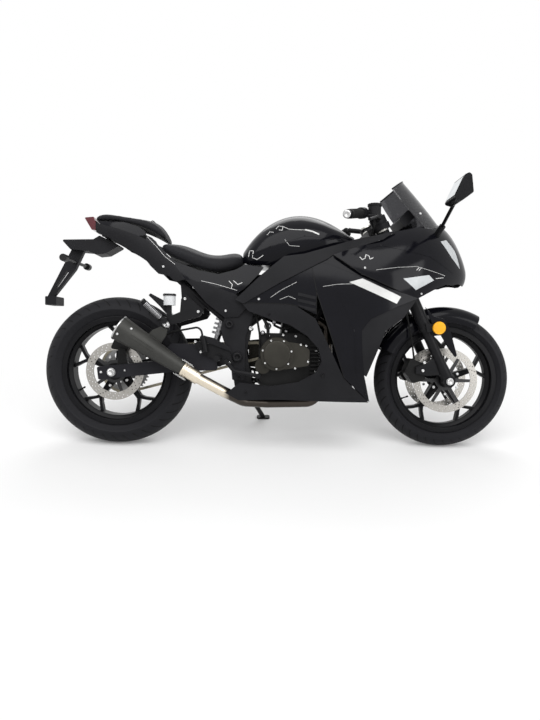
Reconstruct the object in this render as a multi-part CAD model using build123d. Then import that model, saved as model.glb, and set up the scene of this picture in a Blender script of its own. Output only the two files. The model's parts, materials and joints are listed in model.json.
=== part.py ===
from build123d import *
import os
from math import sin, cos, tan, radians, degrees, atan2, pi, hypot, acos

# A single-cylinder sport motorcycle, parked on its side stand.
# It is drawn upright, then leaned over and set down on the floor.
# Drawing frame: x forward, y to the rider's left, z up, millimetres.
# The rear tyre touches the ground under x = 0, and y = 0 is the middle plane.

# Stance and steering geometry
LEAN = 12.0
WHEELBASE = 1402.0
RAKE = 25.5
FORK_OFFSET = 32.0
FORK_HALF_SPREAD = 98.0
STEERING_RANGE = 26.0
CLEARANCE = 0.3
RUNNING_FIT = 0.05

# Tyres and rims: 140/70-17 at the back, 110/70-17 at the front
FLANGE_RADIUS = 230.0
BEAD_RADIUS = 216.0
FLANGE_WALL = 6.0
RIM_WALL = 7.0
WELL_DEPTH = 16.0
SPOKES = 5
SPOKE_FORK_RADIUS = 96.0
SPOKE_SPREAD = 17.0
SPOKE_ARM = 14.0
REAR_TYRE_RADIUS = 315.0
REAR_TYRE_WIDTH = 140.0
REAR_CROWN = 72.0
REAR_RIM_WIDTH = 120.0
FRONT_TYRE_RADIUS = 293.0
FRONT_TYRE_WIDTH = 110.0
FRONT_CROWN = 56.0
FRONT_RIM_WIDTH = 88.0

# Brakes, sprockets and axles
DISC_THICKNESS = 4.5
FRONT_DISC_RADIUS = 138.0
FRONT_DISC_INNER = 108.0
FRONT_DISC_Y = 62.0
FRONT_HUB_RADIUS = 30.0
FRONT_HUB_HALF = 66.0
FRONT_AXLE_RADIUS = 10.0
FRONT_AXLE_BORE = 6.0
FRONT_AXLE_END = 120.0
REAR_DISC_RADIUS = 120.0
REAR_DISC_INNER = 88.0
REAR_DISC_Y = 84.0
REAR_HUB_RADIUS = 36.0
REAR_HUB_HALF = 90.0
REAR_AXLE_RADIUS = 9.0
REAR_AXLE_END = 140.0
FENDER_INNER = FRONT_TYRE_RADIUS + 16.0
FENDER_HALF = FRONT_TYRE_WIDTH / 2 + 8.0
FENDER_SKIRT = 62.0
CHAIN_PITCH = 15.875
CHAIN_Y = 84.0
REAR_TEETH = 42
FRONT_TEETH = 14
SPROCKET_THICKNESS = 6.0
PLATE_GAUGE = 2.0

# Swingarm and pivot
PIVOT_X = 513.0
PIVOT_Z = 386.0
PIVOT_RADIUS = 10.0
ARM_INNER = 102.0
ARM_OUTER = 128.0
ARM_TAIL = 62.0
ARM_RISE = 20.0
ARM_STEP = (172.0, 364.0)
PLATE_INNER = 112.0
PLATE_OUTER = 122.0

# Side stand: pivot lug, deployed foot and stowed direction
STAND_PIVOT = (552.0, 121.0, 214.0)
STAND_FOOT = (627.0, 300.0)
STAND_STOWED = (-0.97, 0.19, 0.16)
STAND_RADIUS = 11.0
STAND_RANGE = 100.0
STAND_HUB_HALF = 12.0
STAND_PIN_RADIUS = 6.0

# Exhaust header
EXHAUST_PORT = (846.0, -40.0, 545.0)
EXHAUST_ELBOW = (889.0, -40.0, 519.0)
HEADER_RADIUS = 22.0
LINK_RADIUS = 27.0
MUFFLER_NOSE = (303.0, -190.0, 337.0)
MUFFLER_TAIL = (49.0, -190.0, 496.0)

# Shell thicknesses
PANEL = 3.5
COVER_PROUD = 5.0
SCREEN = 3.0

# Filler cap, let into the tank's sloping top
CAP_RADIUS = 38.0
CAP_DEPTH = 15.0
CAP_SLOPE = 14.0
CAP_PLACE = (832.0, 0.0, 980.0)
CAP_RANGE = 95.0

# Tabs that carry the bodywork, each a short rod from a tube out to a panel
TAB_RADIUS = 6.0
FAIRING_TABS = [
    ((900, -100, 740), (905, -230, 740)),
    ((760, -102, 662), (760, -230, 662)),
    ((620, -104, 578), (620, -230, 584)),
    ((560, -117, 262), (560, -200, 264)),
]
TAIL_TABS = [
    ((120, -78, 814), (120, -150, 820)),
    ((330, -99, 708), (330, -160, 716)),
    ((425, -107, 566), (425, -158, 606)),
    ((40, -67, 863), (40, -108, 928)),
]
CALIPER_HALF = 30.0
CALIPER_MOUNT = [(1388, 322), (1356, 404), (1300, 366), (1262, 352), (1262, 326), (1310, 316)]
REFLECTOR_SEAT = 131.7
COVER_FACE = 132.0
RESERVOIR = (236.0, -140.0, 592.0)
MASTER_FOOT = (386.0, -153.3, 404.0)
MASTER_TOP = (372.0, -153.3, 470.0)
HOSE_RADIUS = 4.0
STEM_RADIUS = 16.0
BRACE_UPPER = (1000, -64, 716)
BRACE_LOWER = (884, -104, 644)
BRACE_RADIUS = 14.0
REST_TAB_OUTER = 116.0
LAMP_FRONT = -88.0

# Derived places
CAP_PLANE = Plane(
    origin=CAP_PLACE,
    x_dir=(cos(radians(CAP_SLOPE)), 0, -sin(radians(CAP_SLOPE))),
    z_dir=(sin(radians(CAP_SLOPE)), 0, cos(radians(CAP_SLOPE))),
)
REAR_AXLE_Z = REAR_TYRE_RADIUS - REAR_CROWN + REAR_CROWN / cos(radians(LEAN))
FRONT_AXLE_Z = FRONT_TYRE_RADIUS - FRONT_CROWN + FRONT_CROWN / cos(radians(LEAN))
REAR_AXLE = (0.0, 0.0, REAR_AXLE_Z)
FRONT_AXLE = (WHEELBASE, 0.0, FRONT_AXLE_Z)
FORK_DIRECTION = Vector(-sin(radians(RAKE)), 0, cos(radians(RAKE)))
FORK_NORMAL = Vector(cos(radians(RAKE)), 0, sin(radians(RAKE)))
STEERING_POINT = Vector(*FRONT_AXLE) - FORK_NORMAL * FORK_OFFSET
REAR_PITCH_RADIUS = CHAIN_PITCH / (2 * sin(pi / REAR_TEETH))
FRONT_PITCH_RADIUS = CHAIN_PITCH / (2 * sin(pi / FRONT_TEETH))
OUTPUT_SHAFT = (PIVOT_X + 78.0, CHAIN_Y, PIVOT_Z + 20.0)

NODES = {}


def add(name, *solids):
    """File solids under the name of the piece that they belong to."""
    for shape in solids:
        NODES.setdefault(name, []).extend(shape.solids())


def both(shape):
    """A right-hand shape and its left-hand mirror image."""
    return [shape, mirror(shape, about=Plane.XZ)]


def add_pair(name, *shapes):
    for shape in shapes:
        add(name, *both(shape))


def fork_point(along, ahead=0.0, y=0.0):
    """A point measured up the fork leg from the front axle, and ahead of it."""
    point = Vector(*FRONT_AXLE) + FORK_DIRECTION * along + FORK_NORMAL * ahead
    return Vector(point.X, y, point.Z)


def rod(start, end, radius, inner=0.0):
    """A round bar or tube between two points."""
    first = Vector(*start)
    last = Vector(*end)
    plane = Plane(origin=first, z_dir=(last - first).normalized())
    profile = Circle(radius)
    if inner:
        profile = profile - Circle(inner)
    return extrude(plane * profile, amount=(last - first).length)


def cross_rod(x, z, y_from, y_to, radius, inner=0.0):
    """A round bar across the motorcycle."""
    return rod((x, y_from, z), (x, y_to, z), radius, inner)


def cone(start, end, radius_start, radius_end):
    """A tapered round bar between two points."""
    first = Vector(*start)
    last = Vector(*end)
    direction = (last - first).normalized()
    base = Plane(origin=first, z_dir=direction) * Circle(radius_start)
    tip = Plane(origin=last, z_dir=direction) * Circle(radius_end)
    return loft([base.face(), tip.face()])


def pipe(points, bends, radius):
    """A round tube along straight runs joined by arcs."""
    path = FilletPolyline(*points, radius=bends)
    section = Plane(origin=path @ 0, z_dir=path % 0) * Circle(radius)
    return sweep(section, path=path)


def outline_face(points, radius=0.0):
    """A flat face in the middle plane from (x, z) points."""
    wire = FilletPolyline(*[(x, 0, z) for x, z in points], radius=radius, close=True)
    return make_face(wire.edges())


def slab(points, y_from, y_to, radius=0.0):
    """A plate whose side outline is given as (x, z) points."""
    face = outline_face(points, radius).moved(Location((0, y_from, 0)))
    return extrude(face, amount=y_to - y_from, dir=(0, 1, 0))


def block(x_from, x_to, y_from, y_to, z_from, z_to, edge=0.0):
    """A box between two corners, with rounded upright and long edges."""
    box = Pos((x_from + x_to) / 2, (y_from + y_to) / 2, (z_from + z_to) / 2) * Box(
        x_to - x_from, y_to - y_from, z_to - z_from
    )
    if edge:
        box = fillet(box.edges().filter_by(Axis.Y), edge)
    return box


def turned(profile, centre):
    """A ring or hub turned about a wheel axle, from (radius, y) points."""
    x, _, z = centre
    wire = Polyline(*[(x, y, z + r) for r, y in profile], close=True)
    face = make_face(wire.edges())
    return revolve(face, axis=Axis((x, 0, z), (0, 1, 0)))


def arched_section(x, z_low, y_low, z_mid, y_mid, z_high, y_high, z_crown, inset=0.0):
    """One cross-section of bodywork: flat bottom, bowed sides and an arched top."""
    low = (x, y_low - inset, z_low - 2 * inset)
    mid = (x, y_mid - inset, z_mid)
    high = (x, y_high - inset, z_high - inset)
    crown = (x, 0, z_crown - inset)
    flip = lambda p: (p[0], -p[1], p[2])
    edges = [
        Line(flip(low), low),
        ThreePointArc(low, mid, high),
        ThreePointArc(high, crown, flip(high)),
        ThreePointArc(flip(high), flip(mid), flip(low)),
    ]
    return make_face(edges)


def body_form(table, inset=0.0, open_ends=(-1, 1)):
    """A smooth body through the cross-sections of a table; an inset one runs out of its open ends."""
    rows = [list(row) for row in table]
    rows[0][0] += open_ends[0] * inset
    rows[-1][0] += open_ends[1] * inset
    return loft([arched_section(*row, inset=inset) for row in rows])


def panel(skin, points, radius=0.0):
    """The part of a bodywork skin inside a side outline."""
    return skin & slab(points, -400, 400, radius)


# Bodywork sections, one row for each station along x:
# x, z_low, y_low, z_mid, y_mid, z_high, y_high, z_crown
SIDE_FORM = [
    (470, 150, 152, 560, 170, 900, 136, 905),
    (760, 150, 142, 600, 196, 900, 152, 905),
    (1000, 150, 146, 640, 224, 930, 165, 935),
    (1180, 150, 112, 640, 208, 930, 150, 935),
    (1280, 150, 96, 640, 182, 930, 132, 935),
]
NOSE_FORM = [
    (860, 560, 180, 760, 208, 900, 150, 905),
    (1078, 560, 190, 760, 224, 905, 146, 912),
    (1257, 580, 140, 770, 192, 930, 128, 962),
    (1370, 640, 88, 780, 136, 930, 70, 958),
    (1450, 680, 44, 775, 74, 855, 34, 872),
    (1489, 712, 14, 752, 28, 782, 12, 786),
]
TAIL_FORM = [
    (-95, 860, 38, 915, 62, 950, 56, 956),
    (30, 810, 74, 890, 106, 942, 88, 946),
    (150, 700, 96, 840, 124, 905, 104, 910),
    (310, 560, 112, 740, 142, 800, 112, 806),
    (460, 520, 124, 660, 152, 770, 112, 776),
    (630, 520, 126, 680, 156, 800, 132, 806),
]
TANK_FORM = [
    (529, 780, 46, 798, 56, 812, 46, 829),
    (600, 768, 84, 830, 98, 880, 76, 918),
    (700, 770, 108, 850, 128, 938, 92, 978),
    (800, 784, 126, 868, 152, 952, 104, 987),
    (900, 812, 118, 872, 140, 930, 96, 955),
    (996, 850, 84, 866, 90, 882, 70, 892),
]
RIDER_SEAT_FORM = [
    (198, 818, 84, 832, 100, 846, 84, 852),
    (260, 782, 108, 812, 128, 838, 100, 853),
    (350, 748, 112, 780, 134, 806, 104, 826),
    (440, 734, 92, 768, 112, 796, 84, 815),
    (505, 756, 64, 784, 80, 806, 60, 824),
    (528.5, 770, 50, 784, 56, 798, 46, 806),
]
PILLION_SEAT_FORM = [
    (-88, 945, 44, 951, 54, 957, 46, 962),
    (-40, 946, 74, 956, 86, 964, 74, 975),
    (60, 932, 84, 942, 98, 950, 82, 959),
    (140, 904, 84, 924, 100, 938, 80, 950),
    (208, 866, 76, 872, 82, 880, 72, 888),
]


def make_rim(centre, width):
    """A cast rim with a drop centre between its two flanges."""
    half = width / 2
    seat = half - FLANGE_WALL
    ledge = seat - 14.0
    well = ledge - 10.0
    inner = BEAD_RADIUS - RIM_WALL
    deep = BEAD_RADIUS - WELL_DEPTH
    profile = [
        (FLANGE_RADIUS, half),
        (FLANGE_RADIUS, seat),
        (BEAD_RADIUS, seat),
        (BEAD_RADIUS, ledge),
        (deep, well),
        (deep, -well),
        (BEAD_RADIUS, -ledge),
        (BEAD_RADIUS, -seat),
        (FLANGE_RADIUS, -seat),
        (FLANGE_RADIUS, -half),
        (inner, -half),
        (inner, -ledge),
        (deep - RIM_WALL, -well),
        (deep - RIM_WALL, well),
        (inner, ledge),
        (inner, half),
    ]
    return turned(profile, centre)


def make_spokes(centre, hub_radius, hub_half, axle_radius, depth):
    """Hub with five forked spokes that reach into the rim's drop centre."""
    x, _, z = centre
    rim_reach = BEAD_RADIUS - WELL_DEPTH - RIM_WALL / 2
    hub = cross_rod(x, z, -hub_half, hub_half, hub_radius)
    wheel = hub
    trunk = [
        (hub_radius * 0.7, -17.0),
        (hub_radius * 0.7, 17.0),
        (SPOKE_FORK_RADIUS, 15.0),
        (SPOKE_FORK_RADIUS + 10.0, 0.0),
        (SPOKE_FORK_RADIUS, -15.0),
    ]
    spread = radians(SPOKE_SPREAD)
    for index in range(SPOKES):
        turn = 360.0 / SPOKES * index + 90.0
        pieces = slab(trunk, -depth / 2, depth / 2)
        for side in (-1, 1):
            tip = (rim_reach * cos(spread), side * rim_reach * sin(spread))
            root = (SPOKE_FORK_RADIUS - 8.0, side * 6.0)
            run = hypot(tip[0] - root[0], tip[1] - root[1])
            across = (-(tip[1] - root[1]) / run, (tip[0] - root[0]) / run)
            half = SPOKE_ARM / 2
            arm = [
                (root[0] + across[0] * half, root[1] + across[1] * half),
                (tip[0] + across[0] * half, tip[1] + across[1] * half),
                (tip[0] - across[0] * half, tip[1] - across[1] * half),
                (root[0] - across[0] * half, root[1] - across[1] * half),
            ]
            pieces = pieces + slab(arm, -depth * 0.42, depth * 0.42)
        wheel = wheel + pieces.rotate(Axis.Y, turn).moved(Location((x, 0, z)))
    return wheel - cross_rod(x, z, -hub_half - 1, hub_half + 1, axle_radius + RUNNING_FIT)


def make_tyre(centre, radius, width, crown, rim_width):
    """A tyre with a round crown, seated between the rim's flanges."""
    x, _, z = centre
    bead = rim_width / 2 - FLANGE_WALL - CLEARANCE
    shoulder = radius - crown + (crown**2 - (width / 2) ** 2) ** 0.5
    seat = BEAD_RADIUS + CLEARANCE
    over = FLANGE_RADIUS + 1.0

    def at(r, y):
        return (x, y, z + r)

    edges = [
        Line(at(seat, -bead), at(seat, bead)),
        Line(at(seat, bead), at(over, bead)),
        Line(at(over, bead), at(shoulder, width / 2)),
        ThreePointArc(at(shoulder, width / 2), at(radius, 0), at(shoulder, -width / 2)),
        Line(at(shoulder, -width / 2), at(over, -bead)),
        Line(at(over, -bead), at(seat, -bead)),
    ]
    return revolve(make_face(edges), axis=Axis((x, 0, z), (0, 1, 0)))


def make_disc(centre, y, outer, inner, hub_reach, arms):
    """A brake disc on its carrier, whose arms run in to the hub."""
    x, _, z = centre
    low = y - DISC_THICKNESS / 2
    high = y + DISC_THICKNESS / 2
    disc = cross_rod(x, z, low, high, outer, inner)
    carrier = cross_rod(x, z, low, high, hub_reach + 12.0, hub_reach + RUNNING_FIT)
    arm = slab([(hub_reach + 6, -8), (hub_reach + 6, 8), (inner + 5, 6), (inner + 5, -6)], low, high)
    for index in range(arms):
        turn = 360.0 / arms * index
        carrier = carrier + arm.rotate(Axis.Y, turn).moved(Location((x, 0, z)))
    return disc + carrier


def make_wheels():
    front_bore = FRONT_AXLE_RADIUS
    rear_bore = REAR_AXLE_RADIUS
    front = make_spokes(FRONT_AXLE, FRONT_HUB_RADIUS, FRONT_HUB_HALF, front_bore, 30.0)
    add("front_rim", front + make_rim(FRONT_AXLE, FRONT_RIM_WIDTH))
    rear = make_spokes(REAR_AXLE, REAR_HUB_RADIUS, REAR_HUB_HALF, rear_bore, 34.0)
    add("rear_rim", rear + make_rim(REAR_AXLE, REAR_RIM_WIDTH))
    add(
        "front_tyre",
        make_tyre(FRONT_AXLE, FRONT_TYRE_RADIUS, FRONT_TYRE_WIDTH, FRONT_CROWN, FRONT_RIM_WIDTH),
    )
    add(
        "rear_tyre",
        make_tyre(REAR_AXLE, REAR_TYRE_RADIUS, REAR_TYRE_WIDTH, REAR_CROWN, REAR_RIM_WIDTH),
    )
    for side in (-1, 1):
        y = side * FRONT_DISC_Y
        add(
            "front_discs",
            make_disc(FRONT_AXLE, y, FRONT_DISC_RADIUS, FRONT_DISC_INNER, FRONT_HUB_RADIUS, 6),
        )
    add(
        "rear_disc",
        make_disc(REAR_AXLE, -REAR_DISC_Y, REAR_DISC_RADIUS, REAR_DISC_INNER, REAR_HUB_RADIUS, 5),
    )
    add("rear_sprocket", make_sprocket())


def make_sprocket():
    """The rear sprocket: one tooth for each pitch of chain round its rim."""
    x, _, z = REAR_AXLE
    low = CHAIN_Y - SPROCKET_THICKNESS / 2
    high = CHAIN_Y + SPROCKET_THICKNESS / 2
    root = REAR_PITCH_RADIUS - 4.0
    tip = REAR_PITCH_RADIUS + 4.0
    points = []
    for tooth in range(REAR_TEETH):
        for share, radius in ((0.0, root), (0.35, root), (0.55, tip), (0.8, tip)):
            angle = 2 * pi * (tooth + share) / REAR_TEETH
            points.append((x + radius * cos(angle), z + radius * sin(angle)))
    blank = slab(points, low, high)
    blank = blank - cross_rod(x, z, low - 1, high + 1, REAR_HUB_RADIUS + RUNNING_FIT)
    window = cross_rod(x + 68.0, z, low - 1, high + 1, 15.0)
    for index in range(6):
        blank = blank - window.rotate(Axis((x, 0, z), (0, 1, 0)), 60.0 * index)
    return blank


def make_chain():
    """One fixed loop: two rows of scalloped plates, pins along the straight runs."""
    rear_x, _, rear_z = REAR_AXLE
    front_x, _, front_z = OUTPUT_SHAFT
    span = hypot(front_x - rear_x, front_z - rear_z)
    slope = atan2(front_z - rear_z, front_x - rear_x)
    spread = acos((REAR_PITCH_RADIUS - FRONT_PITCH_RADIUS) / span)
    run = span * sin(spread)
    tops = []
    links = int(run // CHAIN_PITCH)
    for sign in (1, -1):
        angle = slope + sign * spread
        start = (rear_x + REAR_PITCH_RADIUS * cos(angle), rear_z + REAR_PITCH_RADIUS * sin(angle))
        end = (front_x + FRONT_PITCH_RADIUS * cos(angle), front_z + FRONT_PITCH_RADIUS * sin(angle))
        tops.append((start, end))
    half = 6.0
    rows = []
    for offset in (half, -half):
        (top_start, top_end), (low_start, low_end) = tops
        up = (cos(slope + spread) * offset, sin(slope + spread) * offset)
        down = (cos(slope - spread) * offset, sin(slope - spread) * offset)
        back = REAR_PITCH_RADIUS + offset
        nose = FRONT_PITCH_RADIUS + offset
        a = (top_start[0] + up[0], 0, top_start[1] + up[1])
        b = (top_end[0] + up[0], 0, top_end[1] + up[1])
        c = (low_end[0] + down[0], 0, low_end[1] + down[1])
        d = (low_start[0] + down[0], 0, low_start[1] + down[1])
        front_tip = (front_x + nose * cos(slope), 0, front_z + nose * sin(slope))
        rear_tip = (rear_x - back * cos(slope), 0, rear_z - back * sin(slope))
        edges = [Line(a, b), ThreePointArc(b, front_tip, c), Line(c, d), ThreePointArc(d, rear_tip, a)]
        rows.append(make_face(edges))
    band = rows[0] - rows[1]
    loop = []
    inner_face = SPROCKET_THICKNESS / 2 + CLEARANCE
    for y in (CHAIN_Y - inner_face - PLATE_GAUGE, CHAIN_Y + inner_face):
        loop.append(extrude(band.moved(Location((0, y, 0))), amount=PLATE_GAUGE, dir=(0, 1, 0)))
    chain = loop[0] + loop[1]
    for start, end in tops:
        for index in range(3, links - 2):
            share = index / links
            px = start[0] + (end[0] - start[0]) * share
            pz = start[1] + (end[1] - start[1]) * share
            chain = chain + cross_rod(px, pz, CHAIN_Y - 7.5, CHAIN_Y + 7.5, 4.0)
    return chain


def make_axles():
    x, _, z = REAR_AXLE
    axle = cross_rod(x, z, -REAR_AXLE_END, REAR_AXLE_END, REAR_AXLE_RADIUS)
    for side in (-1, 1):
        face = side * (ARM_OUTER + CLEARANCE)
        axle = axle + cross_rod(x, z, face, side * REAR_AXLE_END, 17.0)
    add("rear_axle", axle)
    x, _, z = FRONT_AXLE
    axle = cross_rod(x, z, -FRONT_AXLE_END, FRONT_AXLE_END, FRONT_AXLE_RADIUS)
    for side in (-1, 1):
        axle = axle + cross_rod(x, z, side * (FRONT_AXLE_END - 8), side * FRONT_AXLE_END, 15.0)
    add("front_axle", axle - cross_rod(x, z, -150, 150, FRONT_AXLE_BORE))


def arm_top(x):
    """Height of the swingarm's upper edge behind its step."""
    tail_x = REAR_AXLE[0] - ARM_TAIL
    tail_z = REAR_AXLE_Z + ARM_RISE
    return tail_z + (x - tail_x) * (ARM_STEP[1] - tail_z) / (ARM_STEP[0] - tail_x)


def make_swingarm():
    """Two box arms, a bridge ahead of the tyre and a sleeve on the pivot bolt."""
    ax, _, az = REAR_AXLE
    outline = [
        (ax - ARM_TAIL, az + ARM_RISE),
        (ax - 56, az - 32),
        (270, 322),
        (430, 330),
        (430, 425),
        (330, 437),
        (240, 436),
        ARM_STEP,
    ]
    arm = slab(outline, -ARM_OUTER, -ARM_INNER, 6.0)
    arm = arm - cross_rod(ax, az, -200, 0, REAR_AXLE_RADIUS + RUNNING_FIT)
    bridge = slab([(352, 336), (430, 340), (430, 420), (352, 424)], -ARM_INNER, ARM_INNER, 8.0)
    neck = slab([(430, 342), (PIVOT_X, PIVOT_Z - 20), (PIVOT_X, PIVOT_Z + 24), (430, 418)], -94, -50)
    sleeve = cross_rod(PIVOT_X, PIVOT_Z, -PLATE_INNER + CLEARANCE, PLATE_INNER - CLEARANCE, 24.0)
    swingarm = bridge + arm + mirror(arm, about=Plane.XZ)
    swingarm = swingarm + neck + mirror(neck, about=Plane.XZ) + sleeve
    bolt = cross_rod(PIVOT_X, PIVOT_Z, -200, 200, PIVOT_RADIUS + RUNNING_FIT)
    add("swingarm", swingarm - bolt)


def make_frame():
    """Tube frame from the steering head to the pivot plates."""
    low = STEERING_POINT + FORK_DIRECTION * 510.0
    high = STEERING_POINT + FORK_DIRECTION * 660.0
    frame = rod(low, high, 30.0)
    main = [
        (high.X - 6, -20, high.Z - 34),
        (900, -100, 740),
        (660, -104, 606),
        (PIVOT_X + 16, -104, PIVOT_Z + 120),
    ]
    brace = [(low.X - 6, -20, low.Z + 26), BRACE_UPPER, BRACE_LOWER, (842, -112, 562), (808, -112, 500)]
    for points, bends, radius in ((main, [90, 60], 17.0), (brace, [80, 70, 40], BRACE_RADIUS)):
        tube = pipe(points, bends, radius)
        frame = frame + tube + mirror(tube, about=Plane.XZ)
    plate_outline = [
        (PIVOT_X - 52, PIVOT_Z + 82),
        (PIVOT_X - 20, PIVOT_Z - 60),
        (PIVOT_X - 8, PIVOT_Z - 134),
        (PIVOT_X + 66, PIVOT_Z - 134),
        (PIVOT_X + 38, PIVOT_Z + 20),
        (PIVOT_X + 62, PIVOT_Z + 170),
        (PIVOT_X + 4, PIVOT_Z + 190),
    ]
    plate = slab(plate_outline, -PLATE_OUTER, -PLATE_INNER, 8.0)
    cross_x = PIVOT_X + 36
    tie = cross_rod(cross_x, PIVOT_Z - 112, -PLATE_OUTER, PLATE_OUTER, 14.0)
    upper_tie = cross_rod(PIVOT_X + 30, PIVOT_Z + 150, -PLATE_OUTER, PLATE_OUTER, 14.0)
    frame = frame + plate + mirror(plate, about=Plane.XZ) + tie + upper_tie
    frame = frame + cross_rod(PIVOT_X, PIVOT_Z, -PLATE_OUTER, PLATE_OUTER, PIVOT_RADIUS)
    lug = slab([(526, 190), (582, 190), (586, 266), (520, 266)], 84, 94, 6.0)
    frame = frame + lug + block(526, 582, 84, PLATE_OUTER, 254, 266)
    pivot = Vector(*STAND_PIVOT)
    axis = stand_axis()
    face = STAND_HUB_HALF + CLEARANCE
    pin = rod(pivot - axis * (face + 5), pivot + axis * (face + 2), STAND_PIN_RADIUS)
    head = rod(pivot - axis * (face + 5), pivot - axis * face, 10.0)
    cheek = rod(pivot + axis * face, pivot + axis * 30.0, 18.0)
    frame = frame + pin + head + cheek + rod(pivot + axis * 24.0, (556, 108, 262), 9.0)
    stay_outline = [
        (1120, 812), (1120, 846), (1262, 898), (1330, 934), (1400, 945), (1440, 900), (1430, 868), (1330, 872),
        (1266, 868),
    ]
    stay = slab(stay_outline, -14, 14) & body_form(NOSE_FORM, inset=PANEL + CLEARANCE, open_ends=(-1, -1))
    inside = body_form(SIDE_FORM, inset=PANEL + CLEARANCE)
    frame = frame + stay
    for start, end in FAIRING_TABS:
        tab = rod(start, end, TAB_RADIUS) & inside
        frame = frame + tab + mirror(tab, about=Plane.XZ)
    tank_under = body_form(TANK_FORM).moved(Location((0, 0, -CLEARANCE)))
    post = block(886, 906, -100, -80, 740, 850) - tank_under
    frame = frame + post + mirror(post, about=Plane.XZ)
    stem_bore = rod(low - FORK_DIRECTION * 5, high + FORK_DIRECTION * 5, STEM_RADIUS + RUNNING_FIT)
    add("frame", frame - stem_bore)


def make_subframe():
    """Seat rails and the struts below them."""
    rail = pipe(
        [(560, -100, 592), (440, -104, 690), (250, -96, 722), (60, -70, 858), (-58, -52, 890)],
        [80, 80, 80],
        11.0,
    )
    strut = pipe([(462, -106, 534), (372, -108, 606), (236, -97, 726)], [60], 12.0)
    rails = rail + strut
    subframe = rails + mirror(rails, about=Plane.XZ)
    for x, z, reach in ((-42, 879.8, 60), (300, 712, 100)):
        subframe = subframe + cross_rod(x, z, -reach, reach, 9.0)
    inside = body_form(TAIL_FORM, inset=PANEL + CLEARANCE)
    lowered = Location((0, 0, -CLEARANCE))
    rest_tab = [(376, 604), (276, 690), (282, 612), (300, 600), (350, 556), (372, 562)]
    sides = slab(rest_tab, -REST_TAB_OUTER, -108)
    for start, end in TAIL_TABS:
        sides = sides + (rod(start, end, TAB_RADIUS) & inside)
    sides = sides + (block(292, 308, -60, -44, 712, 800) - body_form(RIDER_SEAT_FORM).moved(lowered))
    sides = sides + (block(-6, 10, -68, -54, 872, 952) - body_form(PILLION_SEAT_FORM).moved(lowered))
    lamp_seat = LAMP_FRONT + CLEARANCE
    lamp_stay = [(-50, 878), (-34, 884), (-60, 925), (lamp_seat, 925), (lamp_seat, 909), (-62, 902)]
    add("subframe", subframe + sides + mirror(sides, about=Plane.XZ) + slab(lamp_stay, -20, 20))


def make_shock():
    """Damper and coil of the rear suspension, on the middle plane."""
    foot = Vector(412, 0, 437.3)
    head = Vector(470, 0, 640)
    run = (head - foot).normalized()
    damper = rod(foot, head, 14.0)
    coil = []
    for turn in range(7):
        start = foot + run * (40.0 + turn * 20.0)
        coil.append(rod(start, start + run * 10.0, 30.0))
    shock = damper
    for ring in coil:
        shock = shock + ring
    lugs = cross_rod(foot.X, foot.Z, -22, 22, 16.0) + cross_rod(head.X, head.Z, -22, 22, 16.0)
    add("shock", shock + lugs)


def make_engine():
    """Crankcase, barrel and head in one casting, with fins across the front."""
    case = slab(
        [(600, 300), (614, 246), (800, 246), (846, 300), (846, 440), (770, 486), (600, 486)],
        -132,
        132,
        12.0,
    )
    barrel = slab([(690, 470), (800, 470), (880, 600), (800, 660), (716, 640)], -84, 84, 10.0)
    engine = case + barrel
    for index in range(8):
        z = 322.0 + index * 16.0
        engine = engine + block(812, 856, -146, 146, z, z + 6.0)
    for index in range(5):
        z = 506.0 + index * 20.0
        engine = engine + block(700 + index * 8, 838 + index * 8, -92, 92, z, z + 6.0)
    recess = block(500, 664, CHAIN_Y - 20, 140, 338, 500)
    port = rod(EXHAUST_PORT, EXHAUST_ELBOW, HEADER_RADIUS + CLEARANCE)
    add("engine", engine - recess - port)


def make_engine_covers():
    """Round clutch cover with its forward extension, and the generator cover."""
    centre = (674.0, 401.0)
    x, z = centre
    clutch = cross_rod(x, z, -186, -132 - CLEARANCE, 66.0)
    clutch = clutch + cross_rod(x, z, -192, -186, 52.0)
    case_side = -132 - CLEARANCE
    extension = slab([(674, 456), (772, 444), (806, 420), (806, 356), (700, 338)], -172, case_side, 12.0)
    lower = cross_rod(618, 352, -164, case_side, 32.0)
    right = clutch + extension + lower
    left = cross_rod(690, 396, 132 + CLEARANCE, 184, 68.0) + cross_rod(690, 396, 184, 190, 48.0)
    sprocket_cover = slab([(548, 452), (640, 462), (640, 326), (560, 330)], 132 + CLEARANCE, 156, 14.0)
    add("engine_covers", right, left + sprocket_cover)


def make_radiator():
    """Radiator core with its two side tanks."""
    outline = [(930, 640), (954, 640), (970, 440), (946, 440)]
    core = slab(outline, -150, 150)
    side_tank = [(926, 644), (958, 644), (974, 436), (942, 436)]
    side = slab(side_tank, -170, -150)
    side = side + (rod((955, -160, 500), (955, -240, 500), 8.0) & body_form(SIDE_FORM, inset=PANEL + CLEARANCE))
    lug = block(938, 952, -90, -76, 630, 680) - rod(BRACE_UPPER, BRACE_LOWER, BRACE_RADIUS + CLEARANCE)
    add("radiator", core + side + lug + mirror(side + lug, about=Plane.XZ))


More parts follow.
